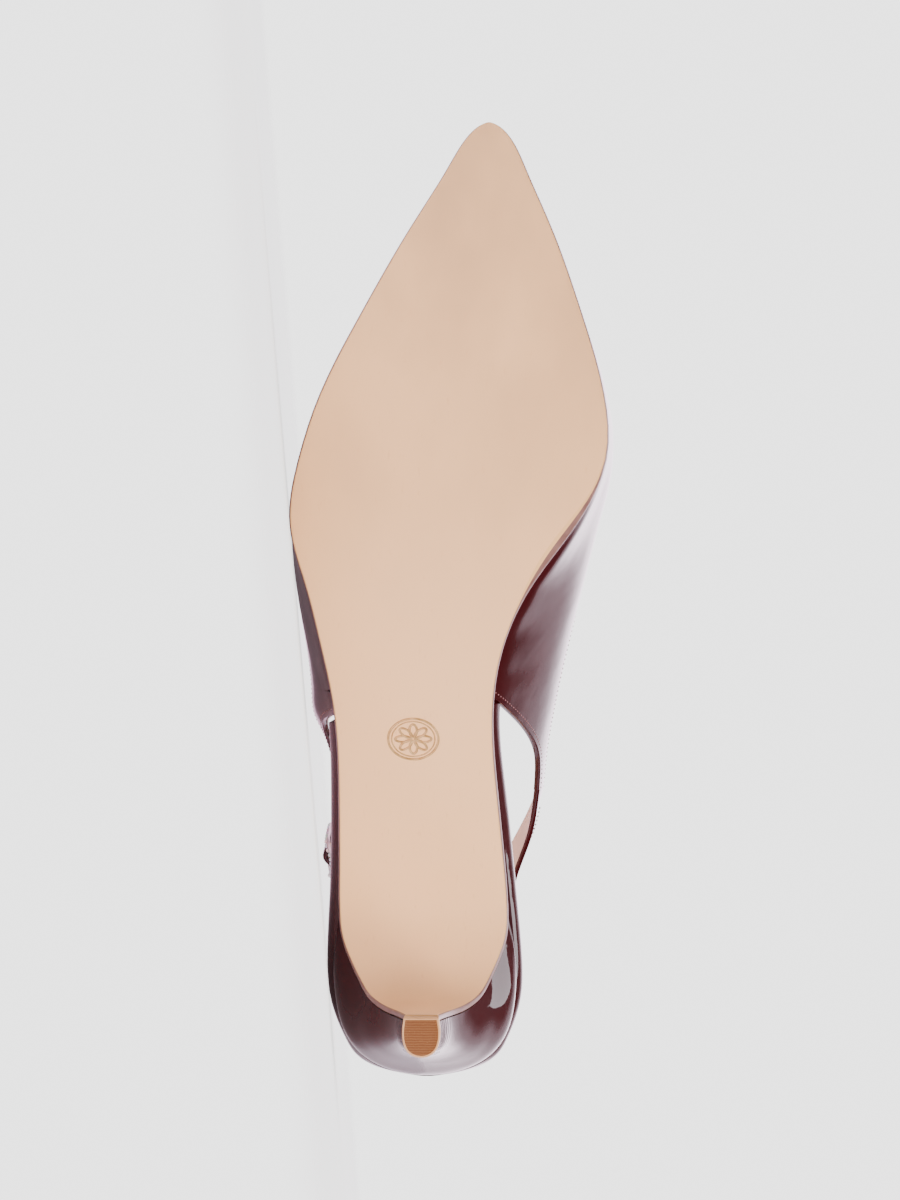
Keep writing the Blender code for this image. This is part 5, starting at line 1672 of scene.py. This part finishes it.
fade = {"Value": away, "From Min": FLOOR_FADE[0], "From Max": FLOOR_FADE[1], "To Min": 1.0, "To Max": 0.0}
fade = floor_paint.node("MapRange", fade, interpolation_type="SMOOTHSTEP")
# painted reflection: the floor glows faintly lilac, but only for rays mirrored by the lacquer
floor_paint.feed("Emission Strength", floor_paint.maths("MULTIPLY", ray["Is Glossy Ray"], PAINTED_REFLECTION_GLOW))
dim = floor_paint.maths("MULTIPLY_ADD", ray["Is Camera Ray"], CAMERA_SHARE - 1, 1.0)
floor_paint.feed("Alpha", floor_paint.maths("MULTIPLY", fade.outputs[0], dim))
mesh = bpy.data.meshes.new("floor")
far = FLOOR_FADE[1]
corners = [(-far, -far, 0), (far, -far, 0), (far, far, 0), (-far, far, 0)]
mesh.from_pydata(corners, [], [(0, 1, 2, 3)])
mesh.materials.append(floor_paint.material)
floor = put("floor", mesh)
print("floor", 2 * far, "m wide")

# %% Studio light
BACK_LIGHT, FRONT_LIGHT = (7.2, 6.1, 6.9), (0.02, 0.02, 0.02)
TURNS_BRIGHT = ((0.40, 0.0), (0.46, 0.10), (0.52, 0.23), (0.60, 0.25), (0.70, 0.40), (0.86, 1.0))
LOW_SIDE, HIGH_SIDE, LOW_LIGHT = -0.1, 0.5, 0.40
world = bpy.data.worlds.new("studio")
bpy.context.scene.world = world
world.use_nodes = True
sky = world.node_tree
direction = add(sky, "ShaderNodeTexCoord").outputs["Generated"]
split = add(sky, "ShaderNodeSeparateXYZ", {0: direction}).outputs
graded = add(sky, "ShaderNodeValToRGB", {"Fac": split["Y"]})
marks = graded.color_ramp.elements
while len(marks) < len(TURNS_BRIGHT):
    marks.new(1.0)
for mark, (share, value) in zip(marks, TURNS_BRIGHT):
    mark.position, mark.color = share, (value, value, value, 1)
low_light = {"Value": split["Z"], "From Min": LOW_SIDE, "From Max": HIGH_SIDE, "To Min": LOW_LIGHT}
low_light = add(sky, "ShaderNodeMapRange", low_light)
links = {0: graded.outputs["Color"], 1: low_light.outputs[0]}
both = add(sky, "ShaderNodeMath", links, operation="MULTIPLY")
links = {0: both.outputs[0], 6: (*FRONT_LIGHT, 1), 7: (*BACK_LIGHT, 1)}
light = add(sky, "ShaderNodeMix", links, data_type="RGBA")
seen = add(sky, "ShaderNodeLightPath").outputs["Is Camera Ray"]
links = {0: seen, 6: light.outputs[2], 7: (BACKDROP, BACKDROP, BACKDROP, 1)}
pick = add(sky, "ShaderNodeMix", links, data_type="RGBA")
sky.links.new(pick.outputs[2], sky.nodes["Background"].inputs["Color"])
sky.nodes["Background"].inputs["Strength"].default_value = 1.0


# %% Lamps
def aim_at(made, target, up=Vector((0, 0, 1))):
    """Turns a lamp or camera to look at a point."""
    back = (made.location - target).normalized()
    right = up.cross(back).normalized()
    turned = Matrix((right, back.cross(right), back)).transposed().to_4x4()
    made.matrix_world = Matrix.Translation(made.location) @ turned


def softbox(name, place, size, power, colour=(1, 1, 1), mirrored=False):
    """A flat soft lamp that faces the shoe; the lacquer mirrors it only where that is wanted."""
    lamp = bpy.data.lights.new(name, "AREA")
    lamp.shape = "RECTANGLE"
    lamp.size, lamp.size_y = size
    lamp.energy = power
    lamp.color = colour
    made = put(name, lamp)
    made.location = place
    aim_at(made, LAMP_TARGET)
    made.visible_glossy = mirrored
    print("lamp", name, power, "W")


LAMP_TARGET = Vector((0, 0, 40 * MM))
softbox("front_box", (1.2, -2.1, 0.8), (1.4, 1.0), 74, (1.0, 0.84, 0.69))
softbox("low_box", (0.5, -2.2, 0.10), (1.2, 0.18), 36, (1.0, 0.84, 0.70))
softbox("top_box", (-0.1, 0.5, 1.6), (1.8, 0.9), 50, (0.97, 0.97, 1.0))
softbox("heel_box", (1.2, 0.10, 0.20), (0.34, 0.24), 4.0, (0.98, 0.94, 1.0), mirrored=True)
softbox("strip_box", (0.15, -0.12, 1.25), (1.1, 0.45), 12, (0.98, 0.94, 1.0), mirrored=True)

# %% [markdown]
# Camera
#
# The photograph looks straight at the sole, toe up. The shoe lies on its outer side, so the camera is rolled
# until the toe is up and stands square to the tread. It is then turned about the shoe's length, just enough
# to stay above the floor. A long lens from far off keeps the sole's proportions, as in the photo.

# %% Camera
FAR = 1.25
LOOK = Vector((128 * MM, 7.48 * MM, 0))
PIXEL = 0.258 * MM
PICTURE_HEIGHT = 1200
LOWEST = 12 * MM
TURN_STEP, MOST_TURN = 0.0005, 0.2
target = PLACE @ LOOK
back = -shoe_z
lift = math.asin(max(min((LOWEST - target.z) / FAR, 1), -1))
raised = 0.0
while (Matrix.Rotation(raised, 3, shoe_x) @ back).z < math.sin(lift) and raised < MOST_TURN:
    raised += TURN_STEP
back = Matrix.Rotation(raised, 3, shoe_x) @ back
eye = put("camera", bpy.data.cameras.new("camera"))
eye.location = target + back * FAR
aim_at(eye, target, up=shoe_x)
eye.data.sensor_width = 36
eye.data.lens = FAR / PIXEL * eye.data.sensor_width / PICTURE_HEIGHT
eye.data.clip_start = 0.01
eye.data.clip_end = 100
bpy.context.scene.camera = eye
print("camera at", [round(k, 4) for k in eye.location])
print("turned by", round(math.degrees(raised), 2), "degrees")
